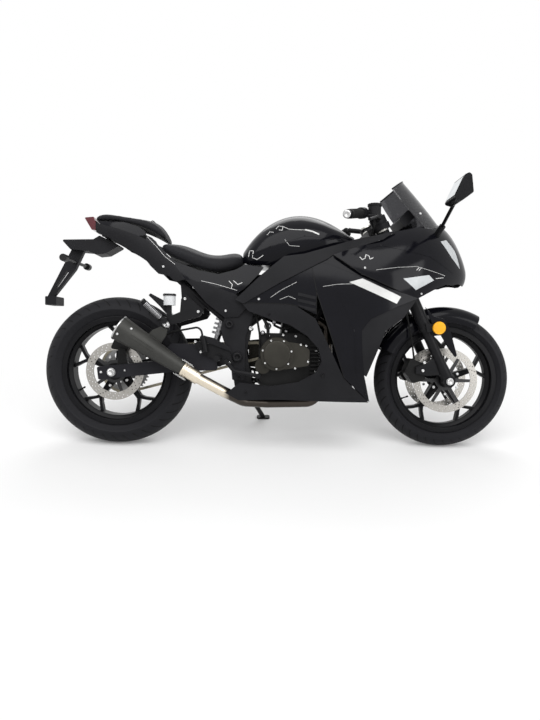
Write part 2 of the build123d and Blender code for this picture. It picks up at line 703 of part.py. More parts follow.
def make_exhaust():
    """Header down the front of the engine, under it and out to the muffler."""
    nose = Vector(*MUFFLER_NOSE)
    tail = Vector(*MUFFLER_TAIL)
    run = (tail - nose).normalized()
    start = Vector(*EXHAUST_PORT)
    elbow = Vector(*EXHAUST_ELBOW)
    lip = start + (elbow - start).normalized() * CLEARANCE
    header = pipe(
        [lip, elbow, (900, -40, 300), (836, -40, 192), (640, -50, 188),
         (540, -80, 196), (452, -138, 246), nose - run * 64.0, nose],
        [24, 60, 60, 60, 60, 60, 50],
        HEADER_RADIUS,
    )
    link = rod(nose - run * 70.0, nose, LINK_RADIUS)
    add("exhaust_pipe", header + link)
    shell = cone(nose + run * 2 * CLEARANCE, tail, LINK_RADIUS, 51.0)
    hollow = cone(tail - run * 30.0, tail + run * 2.0, 44.0, 46.5)
    cap = rod(tail - run * 24.0, tail - run * 18.0, 45.5, 24.0)
    hanger = slab([(130, 450), (172, 492), (206, 506), (232, 496), (226, 470), (190, 415)], -158, -150.3, 6.0)
    add("muffler", shell - hollow + cap + hanger)


def make_tank():
    """Fuel tank with a round filler pocket, and the hinged cap that lies in it."""
    pocket = Circle(CAP_RADIUS + 8.0) + Pos(CAP_RADIUS + 6.0, 0) * Rectangle(18, 50)
    hole = extrude(CAP_PLANE * Pos(0, 0, -CAP_DEPTH) * pocket, amount=60)
    add("fuel_tank", body_form(TANK_FORM) - hole)
    seat = CLEARANCE - CAP_DEPTH
    lid = extrude(CAP_PLANE * Pos(0, 0, seat) * Circle(CAP_RADIUS), amount=9.0)
    lid = lid + extrude(CAP_PLANE * Pos(0, 0, seat) * Circle(CAP_RADIUS - 9.0), amount=11.0)
    lid = lid - extrude(CAP_PLANE * Pos(0, 0, seat + 9.5) * Circle(CAP_RADIUS - 16.0), amount=5.0)
    hinge = cap_hinge()
    knuckle = rod(hinge - Vector(0, 11, 0), hinge + Vector(0, 11, 0), 4.0)
    leaf = CAP_PLANE * Pos(CAP_RADIUS - 3.0, 0, seat + 4.0) * Box(10, 20, 5)
    add("fuel_cap", lid + knuckle + leaf)


def cap_hinge():
    """Centre of the filler cap's hinge, at the front of the cap."""
    return CAP_PLANE.from_local_coords(Vector(CAP_RADIUS + 4.0, 0, CLEARANCE + 5.0 - CAP_DEPTH))


def make_seats():
    add("rider_seat", body_form(RIDER_SEAT_FORM))
    add("pillion_seat", body_form(PILLION_SEAT_FORM))


def make_tail():
    """Tail panels, lamp, plate hanger and rear indicators."""
    skin = body_form(TAIL_FORM) - body_form(TAIL_FORM, inset=PANEL)
    rear_gloss = [(-80, 942), (40, 932), (104, 912), (130, 892), (136, 877), (104, 874), (18, 904), (-62, 926)]
    matte = [
        (-86, 934), (-62, 926), (18, 904), (104, 874), (136, 858), (215, 791), (259, 752), (300, 697),
        (258, 687), (233, 711), (188, 720), (154, 752), (139, 771), (89, 805), (40, 833), (15, 842),
        (-58, 878), (-82, 895),
    ]
    seat_side = [
        (136, 877), (160, 866), (203, 818), (258, 770), (353, 736), (434, 722), (502, 742), (540, 764),
        (617, 752), (597, 724), (537, 662), (504, 641), (382, 683), (300, 697), (259, 752), (215, 791),
        (136, 858),
    ]
    triangle = [(300, 697), (382, 683), (504, 641), (553, 593), (516, 550), (460, 545), (385, 604), (330, 668)]
    add("tail_panels", panel(skin, rear_gloss), panel(skin, seat_side))
    add("side_covers", panel(skin, matte), panel(skin, triangle))
    lamp = slab([(-134, 956), (-96, 960), (LAMP_FRONT, 936), (LAMP_FRONT, 905), (-104, 906)], -58, 58, 3.0)
    add("tail_light", lamp)
    hanger = slab(
        [(-236, 866), (-103, 870), (-77, 886), (8, 846), (-52, 811), (-93, 806), (-123, 821), (-199, 826)],
        -42,
        42,
        5.0,
    )
    leg = slab(
        [(-205, 830), (-236, 770), (-309, 628), (-282, 628), (-190, 745), (-150, 830)], -12, 12, 3.0
    )
    slot = slab([(-224, 742), (-218, 732), (-266, 664), (-272, 672)], -20, 20)
    bracket = block(-306, -259, -42, 42, 591, 628, 4.0)
    add("plate_hanger", hanger + leg - slot + bracket)
    stalk = cross_rod(-188, 776, -132, -12, 7.0)
    lens = cross_rod(-188, 776, -150, -122, 15.0)
    add_pair("rear_indicators", stalk + lens)


def make_fairings():
    """Side fairings, lower fairings, arrow-shaped frame covers and the nose."""
    inner = body_form(SIDE_FORM, inset=PANEL)
    outer = body_form(SIDE_FORM)
    proud = body_form(SIDE_FORM, inset=-COVER_PROUD) - body_form(SIDE_FORM, inset=-CLEARANCE)
    skin = outer - inner
    front = [
        (888, 797), (996, 722), (1160, 654), (1234, 632), (1146, 598), (1040, 546), (1005, 501),
        (1010, 417), (1024, 322), (1055, 210), (943, 311), (825, 653), (806, 752),
    ]
    wedge = [(543, 606), (676, 690), (806, 752), (826, 652), (826, 562), (755, 592), (721, 602), (588, 606)]
    lower = [
        (530, 604), (588, 604), (721, 600), (755, 590), (822, 546), (857, 480), (941, 309), (1052, 208),
        (707, 213), (520, 208), (470, 238), (524, 282), (654, 270), (761, 289), (829, 329), (852, 375),
        (838, 426), (792, 476), (724, 519), (645, 541), (557, 573),
    ]
    inner_front = [
        (1024, 322), (1010, 417), (1005, 501), (1040, 546), (1146, 598), (1230, 630), (1176, 556),
        (1102, 500), (1075, 428), (1034, 316),
    ]
    arrow = [
        (503, 618), (608, 720), (697, 794), (776, 803), (893, 836), (972, 860), (1078, 884), (1145, 905),
        (1090, 864), (978, 827), (888, 797), (868, 782), (676, 684), (537, 602),
    ]
    add("side_fairings", panel(skin, front), panel(skin, wedge))
    stand_notch = block(440, 616, 60, 240, 150, 254)
    add("lower_fairings", panel(skin, lower) - stand_notch)
    add("lower_fairings", panel(inner - body_form(SIDE_FORM, inset=2 * PANEL), inner_front))
    add("frame_covers", panel(proud, arrow))


def make_nose():
    """Upper fairing round the lamps, with the two pairs of lenses let into it."""
    skin = body_form(NOSE_FORM) - body_form(NOSE_FORM, inset=PANEL, open_ends=(-1, -1))
    upper = [
        (888, 797), (978, 827), (1090, 864), (1145, 905), (1257, 930), (1325, 940), (1362, 980), (1500, 980),
        (1500, 700), (1421, 696), (1373, 697), (1309, 670), (1236, 632), (1160, 654), (996, 722),
    ]
    headlamp = [(1338, 870), (1370, 881), (1415, 837), (1442, 766), (1392, 806)]
    marker = [(1165, 707), (1278, 727), (1304, 708), (1223, 665)]
    cowl = panel(skin, upper)
    for outline in (headlamp, marker):
        cutter = slab(outline, -400, 400)
        add("headlamps", skin & cutter)
        cowl = cowl - cutter
    add("nose_fairing", cowl)


def screen_section(x_mid, z_mid, x_edge, z_edge, y_edge):
    """A thin curved strip across the windscreen, through its middle and its two edges."""
    outer = [(x_edge, -y_edge, z_edge), (x_mid, 0, z_mid), (x_edge, y_edge, z_edge)]
    reach = y_edge - SCREEN
    inner = [(x_edge, -reach, z_edge), (x_mid - SCREEN * 1.3, 0, z_mid), (x_edge, reach, z_edge)]
    # The inner strip stays in the plane of the outer one
    tilt = (z_mid - z_edge) / (x_mid - x_edge)
    inner[1] = (x_mid - SCREEN * 1.3, 0, z_mid - SCREEN * 1.3 * tilt)
    edges = [
        ThreePointArc(*outer),
        Line(outer[2], inner[2]),
        ThreePointArc(*inner),
        Line(inner[0], outer[0]),
    ]
    return make_face(edges)


def make_windscreen():
    sections = [
        screen_section(1370, 946, 1281, 914, 130),
        screen_section(1284, 1052, 1196, 1012, 122),
        screen_section(1206, 1140, 1140, 1086, 104),
    ]
    add("windscreen", loft(sections) - body_form(NOSE_FORM, inset=-CLEARANCE))


def make_cockpit():
    """Instrument housing on its bracket behind the screen."""
    housing = slab([(1180, 970), (1216, 1010), (1250, 985), (1206, 935)], -78, 78, 6.0)
    bracket = slab([(1212, 960), (1240, 960), (1262, 898 + CLEARANCE), (1220, 882.5 + CLEARANCE)], -14, 14)
    add("instrument_panel", housing + bracket)


def make_mirrors():
    base = rod((1318, -104, 878), (1336, -158, 928), 13.0) - body_form(NOSE_FORM, inset=-CLEARANCE)
    stalk = rod((1334, -152, 924), (1330, -300, 990), 7.0)
    head_outline = [(1296, 980), (1334, 1066), (1350, 1074), (1360, 1066), (1368, 1004), (1326, 972)]
    head = slab(head_outline, -372, -276, 8.0)
    add_pair("mirrors", base + stalk + head)


def make_forks():
    """Telescopic legs, yokes and stem about the steering axis."""
    for side in (-1, 1):
        y = side * FORK_HALF_SPREAD
        upper = rod(fork_point(250, 0, y), fork_point(716, 0, y), 26.0)
        lower = rod(fork_point(20, 0, y), fork_point(250, 0, y), 21.0)
        lug = cross_rod(FRONT_AXLE[0], FRONT_AXLE[2], y - side * 22, y + side * 14, 26.0)
        axle_hole = cross_rod(FRONT_AXLE[0], FRONT_AXLE[2], y - 40, y + 40, FRONT_AXLE_RADIUS)
        boss_at = fork_point(268)
        boss = cross_rod(boss_at.X, boss_at.Z, side * 50, y, 9.0) - fender_envelope()
        caliper_y = side * (FRONT_DISC_Y + CALIPER_HALF + CLEARANCE)
        mount = slab(CALIPER_MOUNT, caliper_y, side * 104.0)
        tag = [(1286, 536), (1350, 530), (1352, 504), (1296, 498)]
        reflector = slab(tag, side * 114, side * REFLECTOR_SEAT, 3.0)
        add("fork_legs", upper + lower + lug + boss + mount + reflector - axle_hole)
    yokes = None
    for along, thick in ((470, 32.0), (690, 24.0)):
        low = fork_point(along)
        plane = Plane(origin=low, x_dir=FORK_NORMAL, z_dir=FORK_DIRECTION)
        web = Pos(-FORK_OFFSET / 2, 0) * Rectangle(FORK_OFFSET + 52, 2 * FORK_HALF_SPREAD + 6)
        shape = web
        for side in (-1, 1):
            shape = shape + Pos(0, side * FORK_HALF_SPREAD) * Circle(38.0)
            shape = shape - Pos(0, side * FORK_HALF_SPREAD) * Circle(26.0)
        plate = extrude(plane * shape, amount=thick)
        yokes = plate if yokes is None else yokes + plate
    stem_low = STEERING_POINT + FORK_DIRECTION * 480.0
    stem_high = STEERING_POINT + FORK_DIRECTION * 712.0
    add("yokes", yokes + rod(stem_low, stem_high, STEM_RADIUS))


def make_handlebars():
    """Clip-on bars with rubber grips, switches, levers and the brake reservoir."""
    clamp_at = fork_point(716, 0, -FORK_HALF_SPREAD)
    clamp = rod(clamp_at, clamp_at + FORK_DIRECTION * 30.0, 34.0)
    grip_inner = Vector(988, -224, 956)
    grip_outer = Vector(926, -342, 924)
    run = (grip_outer - grip_inner).normalized()
    bar_start = clamp_at + FORK_DIRECTION * 15.0
    bar_bend = grip_inner - run * 64
    bar = rod(bar_start + Vector(0, -22, 0), bar_bend, 11.0)
    bar = bar + rod(bar_bend - run * 4, grip_outer + run * 14, 11.0)
    weight = rod(grip_outer + run * 14, grip_outer + run * 34, 15.0)
    add_pair("handlebars", clamp + bar + weight)
    grip = rod(grip_inner, grip_outer + run * 13.5, 17.0, 11.0 + RUNNING_FIT)
    add_pair("grips", grip)
    pod = rod(grip_inner - run * 44, grip_inner - run * 2, 22.0, 11.0 + RUNNING_FIT)
    lever_root = grip_inner - run * 20 + Vector(16, 0, -10)
    lever = pipe(
        [lever_root, lever_root + Vector(44, -34, -8), grip_outer + Vector(74, 0, -18)], [30], 6.0
    )
    add_pair("hand_controls", pod + lever)
    cup = rod((1050, -196, 940), (1050, -196, 990), 25.0) + rod((1050, -196, 990), (1050, -196, 998), 28.0)
    neck = rod((1050, -196, 955), grip_inner - run * 30 + Vector(22, 0, 6), 9.0)
    add("hand_controls", cup + neck)


def fender_envelope():
    """The space under the front mudguard's outside, with a little clearance, all round the wheel."""
    x, _, z = FRONT_AXLE
    low = FENDER_INNER - FENDER_SKIRT - CLEARANCE
    wide = FENDER_HALF + PANEL + CLEARANCE
    left = (x, -wide, z + low)
    right = (x, wide, z + low)
    bow = FENDER_HALF * 0.74 + 1 + CLEARANCE
    top = (x, 0, z + FENDER_INNER + PANEL + CLEARANCE)
    edges = [
        Line(left, right),
        ThreePointArc(right, (x, bow, z + FENDER_INNER + CLEARANCE), top),
        ThreePointArc(top, (x, -bow, z + FENDER_INNER + CLEARANCE), left),
    ]
    return revolve(make_face(edges), axis=Axis((x, 0, z), (0, 1, 0)))


def make_front_fender():
    """A narrow mudguard that follows the tyre, between the fork legs."""
    x, _, z = FRONT_AXLE
    inner = FENDER_INNER
    half = FENDER_HALF
    skirt = FENDER_SKIRT

    def at(r, y):
        return (x, y, z + r)

    edges = [
        ThreePointArc(at(inner - skirt, half), at(inner - 4, half * 0.72), at(inner, 0)),
        ThreePointArc(at(inner, 0), at(inner - 4, -half * 0.72), at(inner - skirt, -half)),
        Line(at(inner - skirt, -half), at(inner - skirt, -half - PANEL)),
        ThreePointArc(
            at(inner - skirt, -half - PANEL), at(inner, -half * 0.74 - 1), at(inner + PANEL, 0)
        ),
        ThreePointArc(
            at(inner + PANEL, 0), at(inner, half * 0.74 + 1), at(inner - skirt, half + PANEL)
        ),
        Line(at(inner - skirt, half + PANEL), at(inner - skirt, half)),
    ]
    axle = Axis((x, 0, z), (0, 1, 0))
    arc = revolve(make_face(edges), axis=axle, revolution_arc=92.0)
    fender = arc.rotate(axle, -64.0)
    add("front_fender", fender)


def make_front_brakes():
    x, _, z = FRONT_AXLE
    outline = [(-184, 36), (-160, 96), (-108, 74), (-96, 4), (-150, -12)]
    caliper = slab(outline, -CALIPER_HALF, CALIPER_HALF, 8.0)
    groove = cross_rod(0, 0, -6, 6, FRONT_DISC_RADIUS + 4.0)
    caliper = (caliper - groove).moved(Location((x, -FRONT_DISC_Y, z)))
    add_pair("front_calipers", caliper)


def make_rear_brake():
    x, _, z = REAR_AXLE
    caliper = slab([(-12, 96), (10, 146), (72, 128), (58, 84)], -26, 26, 8.0)
    groove = cross_rod(0, 0, -6, 6, REAR_DISC_RADIUS + 4.0)
    caliper = (caliper - groove).moved(Location((x, -REAR_DISC_Y, z)))
    seat = [(at, arm_top(at) + CLEARANCE) for at in (20.0, 60.0)]
    bracket = slab(seat + [(52, z + 94), (22, z + 98)], -118, -ARM_INNER - 2)
    add("rear_caliper", caliper + bracket)
    foot = Vector(*RESERVOIR)
    rim = foot + Vector(0, 0, 38)
    add("brake_reservoir", rod(foot, rim, 24.0) + rod(rim, rim + Vector(0, 0, 8), 26.0))


def make_hoses():
    """Brake hoses along their routes behind the fork legs, and over the swingarm."""
    cup = Vector(1050, -196, 940 - CLEARANCE)
    low = Vector(1262, -72, 384.3)
    front = [
        cup, (1050, -196, 914), (1046, -138, 868), fork_point(560, -58, -106), fork_point(330, -50, -112),
        low + Vector(-12, -6, 70), low,
    ]
    add("front_brake_hoses", pipe(front, [18, 30, 50, 60, 40], HOSE_RADIUS))
    top = Vector(*MASTER_TOP)
    run = (top - Vector(*MASTER_FOOT)).normalized()
    rear = [top + run * CLEARANCE, top + run * 38, (250, -122, 486), (140, -88, 436), (69, -84, 430)]
    add("rear_brake_hose", pipe(rear, [24, 70, 60], HOSE_RADIUS))


def make_chain_guard():
    """An angle over the upper run of the chain, on the left arm of the swingarm."""
    web = slab([(150, 450), (410, 458), (410, 430), (240, 424), (180, 436)], 95, ARM_INNER - CLEARANCE)
    top = slab([(150, 450), (410, 458), (410, 461), (150, 453)], 74, ARM_INNER - CLEARANCE)
    add("chain_guard", web + top)


def make_footrests():
    outline = [
        (284, 618), (302, 638), (376, 572), (360, 548), (240, 512), (234, 488), (212, 490), (210, 534), (280, 566),
    ]
    bracket = slab(outline, -150, -142, 3.0)
    for x, z in ((300, 618), (354, 568)):
        bracket = bracket + cross_rod(x, z, -146, -REST_TAB_OUTER - CLEARANCE, 9.0)
    peg = rod((213, -172, 534), (142, -214, 606), 11.0)
    knuckle = cross_rod(219, 530, -180, -142, 14.0)
    plate = [(330, 452), (474, 424), (498, 362), (480, 346), (362, 402)]
    hanger = slab(plate, -142, -COVER_FACE - CLEARANCE, 6.0)
    rider = cross_rod(440, 384, -268, -COVER_FACE - CLEARANCE, 12.0)
    upper = bracket + peg + knuckle
    strip = block(226, 246, -150, -142, 520, RESERVOIR[2] - CLEARANCE)
    add("footrests", upper + strip, mirror(upper, about=Plane.XZ))
    add_pair("footrests", hanger + rider)
    add("foot_controls", rod(MASTER_FOOT, MASTER_TOP, 11.0))
    pedal = pipe([(470, -152, 366), (500, -156, 330), (596, -168, 312)], [30], 8.0)
    pad = cross_rod(600, 312, -196, -160, 9.0)
    shaft = cross_rod(470, 366, -160, -142, 10.0)
    add_pair("foot_controls", pedal + pad + shaft)


def make_pivot_covers():
    outline = [
        (444, 503), (460, 545), (516, 550), (553, 593), (577, 561), (545, 470), (543, 291), (493, 291),
        (485, 376), (451, 465),
    ]
    add_pair("pivot_covers", slab(outline, -COVER_FACE, -PLATE_OUTER - CLEARANCE, 5.0))


def make_reflectors():
    place = (1342, 517)
    disc = cross_rod(*place, -REFLECTOR_SEAT - 10, -REFLECTOR_SEAT - CLEARANCE, 26.0)
    add_pair("fork_reflectors", disc)


def make_side_stand():
    """Leg, foot and lug of the stand on the left, deployed and carrying the lean."""
    pivot = Vector(*STAND_PIVOT)
    foot_z = STAND_FOOT[1] * tan(radians(LEAN))
    foot = Vector(STAND_FOOT[0], STAND_FOOT[1], foot_z)
    down = Vector(0, sin(radians(LEAN)), -cos(radians(LEAN)))
    run = (foot - pivot).normalized()
    leg = rod(pivot, foot - run * 6.0 - down * 4.0, STAND_RADIUS)
    sole_plane = Plane(origin=foot, x_dir=(1, 0, 0), z_dir=down * -1)
    sole = extrude(sole_plane * RectangleRounded(64, 40, 14), amount=8.0)
    reach = stand_axis() * STAND_HUB_HALF
    hub = rod(pivot - reach, pivot + reach, 17.0)
    bore = rod(pivot - reach * 2, pivot + reach * 2, STAND_PIN_RADIUS + RUNNING_FIT)
    add("side_stand", leg + sole + hub - bore)


def stand_axis():
    """The axis about which a positive turn stows the side stand."""
    pivot = Vector(*STAND_PIVOT)
    foot = Vector(STAND_FOOT[0], STAND_FOOT[1], STAND_FOOT[1] * tan(radians(LEAN)))
    deployed = (foot - pivot).normalized()
    stowed = Vector(*STAND_STOWED).normalized()
    return deployed.cross(stowed).normalized()


def build():
    make_wheels()
    add("chain", make_chain())
    make_axles()
    make_swingarm()
    make_frame()
    make_subframe()
    make_shock()
    make_engine()
    make_engine_covers()
    make_radiator()
    make_exhaust()
    make_tank()
    make_seats()
    make_tail()
    make_fairings()
    make_nose()
    make_windscreen()
    make_cockpit()
    make_mirrors()
    make_forks()
    make_handlebars()
    make_front_fender()
    make_front_brakes()
    make_rear_brake()
    make_hoses()
    make_chain_guard()
    make_footrests()
    make_pivot_covers()
    make_reflectors()
    make_side_stand()


def lean_over():
    """Lean every piece to the left about the ground line and centre the whole on the floor."""
    leaned = {}
    for name, solids in NODES.items():
        leaned[name] = [solid.rotate(Axis.X, -LEAN) for solid in solids]
    everything = Compound([solid for solids in leaned.values() for solid in solids])
    box = everything.bounding_box()
    shift = Vector(-(box.min.X + box.max.X) / 2, -(box.min.Y + box.max.Y) / 2, -box.min.Z)
    placed = {}
    for name, solids in leaned.items():
        placed[name] = [solid.moved(Location(shift)) for solid in solids]
    return placed, shift


build()
PLACED, SHIFT = lean_over()
os.makedirs("parts", exist_ok=True)
for node, solids in PLACED.items():
    export_step(Compound(solids), f"parts/{node}.step")
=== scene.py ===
import bpy
import bmesh
import json
import math
from functools import partial
from mathutils import Matrix, Vector
from mathutils.bvhtree import BVHTree


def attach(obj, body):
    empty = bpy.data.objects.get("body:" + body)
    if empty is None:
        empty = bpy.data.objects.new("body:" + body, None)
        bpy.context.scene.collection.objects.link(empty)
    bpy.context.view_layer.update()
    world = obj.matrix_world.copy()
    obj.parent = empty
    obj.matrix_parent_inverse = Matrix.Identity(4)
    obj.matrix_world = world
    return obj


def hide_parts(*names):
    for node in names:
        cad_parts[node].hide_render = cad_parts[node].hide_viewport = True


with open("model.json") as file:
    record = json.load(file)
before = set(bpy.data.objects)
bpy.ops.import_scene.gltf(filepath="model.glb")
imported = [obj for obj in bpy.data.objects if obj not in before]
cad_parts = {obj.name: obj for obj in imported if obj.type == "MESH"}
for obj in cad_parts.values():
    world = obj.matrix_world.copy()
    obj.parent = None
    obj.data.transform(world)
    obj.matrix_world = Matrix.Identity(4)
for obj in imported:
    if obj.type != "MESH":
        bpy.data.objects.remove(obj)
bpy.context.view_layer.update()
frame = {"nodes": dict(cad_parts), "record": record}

# The motorcycle is drawn upright in millimetres and then leaned over on its stand.
# These values carry a drawing point into the frame that the solids share.
LEAN = math.radians(12.0)
REAR_AXLE_HEIGHT = 0.243 + 0.072 / math.cos(LEAN)
MM = 0.001
JOINTS = {joint["name"]: joint for joint in frame["record"]["behaviour"]["joints"]}
LEANING = Matrix.Rotation(-LEAN, 4, "X")
REAR_AXLE = Vector(JOINTS["rear_wheel_spin"]["pos_m"])
FRONT_AXLE = Vector(JOINTS["front_wheel_spin"]["pos_m"])
SHIFT = REAR_AXLE - LEANING @ Vector((0, 0, REAR_AXLE_HEIGHT))
PLACE = Matrix.Translation(SHIFT) @ LEANING
UPRIGHT = PLACE.inverted()

# The fork's legs in the upright drawing, in millimetres
FORK_RAKE = math.radians(25.5)
FORK_UP = Vector((-math.sin(FORK_RAKE), 0, math.cos(FORK_RAKE)))
FORK_FOOT = (1402, 98, 294.2)

# Cast wheels: radii outside and inside the rim, in millimetres
FLANGE_RADIUS = 230
BEAD_RADIUS = 216
WELL_RADIUS = 200
LEDGE_INSIDE = 209
WELL_INSIDE = 193
SPOKES = 5

# How painted lines follow the bodywork, in millimetres, and where a sight line starts, in metres
LINE_STEP = 5.0
LARGEST_JUMP = 6.0
OUTSIDE = 0.7

# Seat covers, in metres: how finely they are remade, and how far they swell
SEAT_VOXEL = 0.006
SEAT_SWELL = 0.0022

BRIGHT_STEEL = (0.78, 0.7, 0.57)
MATERIALS = {}

# Camera, found by fitting both wheels in the photograph, in metres from the leaning drawing
CAMERA_PLACE = (0.604, -2.186, 0.477)
CAMERA_YAW = math.radians(1.21)
CAMERA_PITCH = math.radians(2.84)
CAMERA_ROLL = math.radians(0.86)
FOCAL_PIXELS = 500.0
FRAME_HEIGHT = 720.0


def put(x, y, z):
    """A drawing point in millimetres, carried into the shared frame in metres."""
    return PLACE @ Vector((x * MM, y * MM, z * MM))


# Materials


def principled(material):
    """The node that gives a material its surface."""
    return material.node_tree.nodes["Principled BSDF"]


def new_material(name, color, roughness, metallic=0.0):
    """A material of one colour, kept under its name."""
    material = bpy.data.materials.new(name)
    MATERIALS[name] = material
    material.use_nodes = True
    shader = principled(material)
    shader.inputs["Base Color"].default_value = (*color, 1.0)
    shader.inputs["Roughness"].default_value = roughness
    shader.inputs["Metallic"].default_value = metallic
    return material


def noise(material, scale, detail):
    """A noise texture on object coordinates."""
    nodes = material.node_tree.nodes
    links = material.node_tree.links
    place = nodes.new("ShaderNodeTexCoord")
    texture = nodes.new("ShaderNodeTexNoise")
    texture.inputs["Scale"].default_value = scale
    texture.inputs["Detail"].default_value = detail
    texture.inputs["Roughness"].default_value = 0.6
    links.new(place.outputs["Object"], texture.inputs["Vector"])
    return texture


def vary(material, texture, socket, low, high):
    """Drives a shader value between two limits by a texture."""
    links = material.node_tree.links
    span = material.node_tree.nodes.new("ShaderNodeMapRange")
    span.inputs["To Min"].default_value = low
    span.inputs["To Max"].default_value = high
    links.new(texture.outputs[0], span.inputs["Value"])
    links.new(span.outputs["Result"], principled(material).inputs[socket])


def tint(material, texture, dark, light):
    """Drives the base colour between two colours by a texture."""
    links = material.node_tree.links
    ramp = material.node_tree.nodes.new("ShaderNodeValToRGB")
    ramp.color_ramp.elements[0].position = 0.3
    ramp.color_ramp.elements[1].position = 0.7
    ramp.color_ramp.elements[0].color = (*dark, 1.0)
    ramp.color_ramp.elements[1].color = (*light, 1.0)
    links.new(texture.outputs[0], ramp.inputs["Fac"])
    links.new(ramp.outputs["Color"], principled(material).inputs["Base Color"])


def bump(material, texture, strength, distance=0.001):
    """Adds surface relief from a texture."""
    links = material.node_tree.links
    relief = material.node_tree.nodes.new("ShaderNodeBump")
    relief.inputs["Strength"].default_value = strength
    relief.inputs["Distance"].default_value = distance
    links.new(texture.outputs[0], relief.inputs["Height"])
    links.new(relief.outputs["Normal"], principled(material).inputs["Normal"])


def painted(name, color, roughness, spread=0.06, grain=900.0, relief=0.15, coat=0.0, metallic=0.0, shine=0.1):
    """Paint or moulding with a fine orange-peel or grain and slight variation."""
    material = new_material(name, color, roughness, metallic)
    shader = principled(material)
    shader.inputs["Specular IOR Level"].default_value = shine
    if coat:
        shader.inputs["Coat Weight"].default_value = coat
        shader.inputs["Coat Roughness"].default_value = 0.04
    broad = noise(material, 9.0, 3.0)
    vary(material, broad, "Roughness", max(roughness - spread, 0.02), roughness + spread)
    tint(material, broad, tuple(c * 0.86 for c in color), tuple(c * 1.14 for c in color))
    bump(material, noise(material, grain, 2.0), relief, 0.0004)
    return material


def brushed(name, color, roughness):
    """Metal with fine scratches and uneven polish."""
    material = new_material(name, color, roughness, metallic=1.0)
    broad = noise(material, 30.0, 5.0)
    vary(material, broad, "Roughness", roughness * 0.75, roughness * 1.3)
    tint(material, broad, tuple(c * 0.82 for c in color), tuple(min(c * 1.12, 1.0) for c in color))
    bump(material, noise(material, 240.0, 6.0), 0.12, 0.0003)
    return material


def clear(name, color, transmission, roughness=0.03, alpha=1.0):
    """See-through moulding with slightly uneven gloss."""
    material = new_material(name, color, roughness)
    shader = principled(material)
    shader.inputs["Transmission Weight"].default_value = transmission
    shader.inputs["IOR"].default_value = 1.49
    shader.inputs["Alpha"].default_value = alpha
    vary(material, noise(material, 12.0, 2.0), "Roughness", roughness * 0.6, roughness * 1.5)
    return material


def make_materials():
    """Every finish. After a painted colour come roughness, its spread, grain and relief."""
    painted("gloss_black", (0.004, 0.004, 0.006), 0.13, 0.03, 60.0, 0.02, shine=0.14)
    painted("matte_plastic", (0.012, 0.012, 0.0135), 0.46, 0.06, 1400.0, 0.3)
    painted("frame_black", (0.011, 0.011, 0.012), 0.36)
    painted("swingarm_black", (0.016, 0.016, 0.019), 0.4)
    painted("engine_black", (0.014, 0.014, 0.014), 0.45, 0.08, 500.0, 0.4)
    painted("cover_bronze", (0.036, 0.034, 0.029), 0.36, 0.06, 700.0, 0.2, metallic=0.5)
    painted("radiator", (0.016, 0.016, 0.016), 0.5, 0.05, 300.0, 0.8)
    brushed("shock_steel", (0.35, 0.35, 0.36), 0.35)
    brushed("pipe_steel", BRIGHT_STEEL, 0.3)
    painted("muffler_grey", (0.048, 0.048, 0.045), 0.42, 0.06, 500.0, 0.2, metallic=0.4)
    brushed("cap_metal", (0.5, 0.5, 0.5), 0.3)
    painted("seat_vinyl", (0.014, 0.014, 0.016), 0.5, 0.07, 1600.0, 0.7)
    painted("red_lens", (0.09, 0.006, 0.012), 0.1, 0.03, 60.0, 0.02, coat=1.0)
    painted("indicator", (0.02, 0.02, 0.02), 0.3)
    painted("clear_lens", (0.5, 0.52, 0.53), 0.12, 0.05, 160.0, 1.0, shine=0.5)
    clear("smoked_screen", (0.03, 0.03, 0.035), 0.6, 0.05, 0.85)
    painted("mirror_black", (0.008, 0.008, 0.009), 0.22)
    painted("fork_black", (0.01, 0.01, 0.011), 0.35)
    painted("bar_black", (0.01, 0.01, 0.011), 0.32)
    painted("grip_rubber", (0.012, 0.012, 0.012), 0.75, 0.08, 1200.0, 0.8)
    painted("control_black", (0.011, 0.011, 0.012), 0.4)
    painted("caliper_black", (0.01, 0.01, 0.01), 0.4)
    painted("reservoir", (0.62, 0.63, 0.64), 0.3, 0.05)
    brushed("footrest_alloy", (0.42, 0.42, 0.43), 0.32)
    painted("amber_lens", (0.86, 0.4, 0.006), 0.15, 0.04, 300.0, 0.5, coat=0.6)
    painted("wheel_black", (0.007, 0.007, 0.008), 0.3)
    painted("tyre", (0.028, 0.028, 0.03), 0.62, 0.08, 900.0, 0.5)
    brushed("disc_steel", (0.5, 0.49, 0.46), 0.3)
    brushed("sprocket_steel", (0.3, 0.3, 0.3), 0.4)
    brushed("chain_steel", (0.36, 0.33, 0.26), 0.4)
    brushed("axle_steel", (0.6, 0.6, 0.6), 0.28)
    painted("hose_rubber", (0.009, 0.009, 0.009), 0.5)
    painted("white_paint", (0.6, 0.6, 0.59), 0.25, 0.04, 300.0, 0.05, coat=0.4)
    brushed("mirror_glass", (0.75, 0.78, 0.8), 0.04)
    brushed("lamp_silver", (0.8, 0.8, 0.8), 0.12)
    painted("pale_lens", (0.72, 0.6, 0.6), 0.2, coat=0.5)
    tread_tyre("front_tyre", FRONT_AXLE, blocks=44, half_width=0.055, crown_radius=0.2475)
    tread_tyre("rear_tyre", REAR_AXLE, blocks=40, half_width=0.070, crown_radius=0.254)
    drilled_disc("front_discs", FRONT_AXLE, 0.107, (0.113, 0.122, 0.131), holes=36)
    header_pipe()
    drilled_disc("rear_disc", REAR_AXLE, 0.087, (0.094, 0.104, 0.113), holes=30)


# Shapes


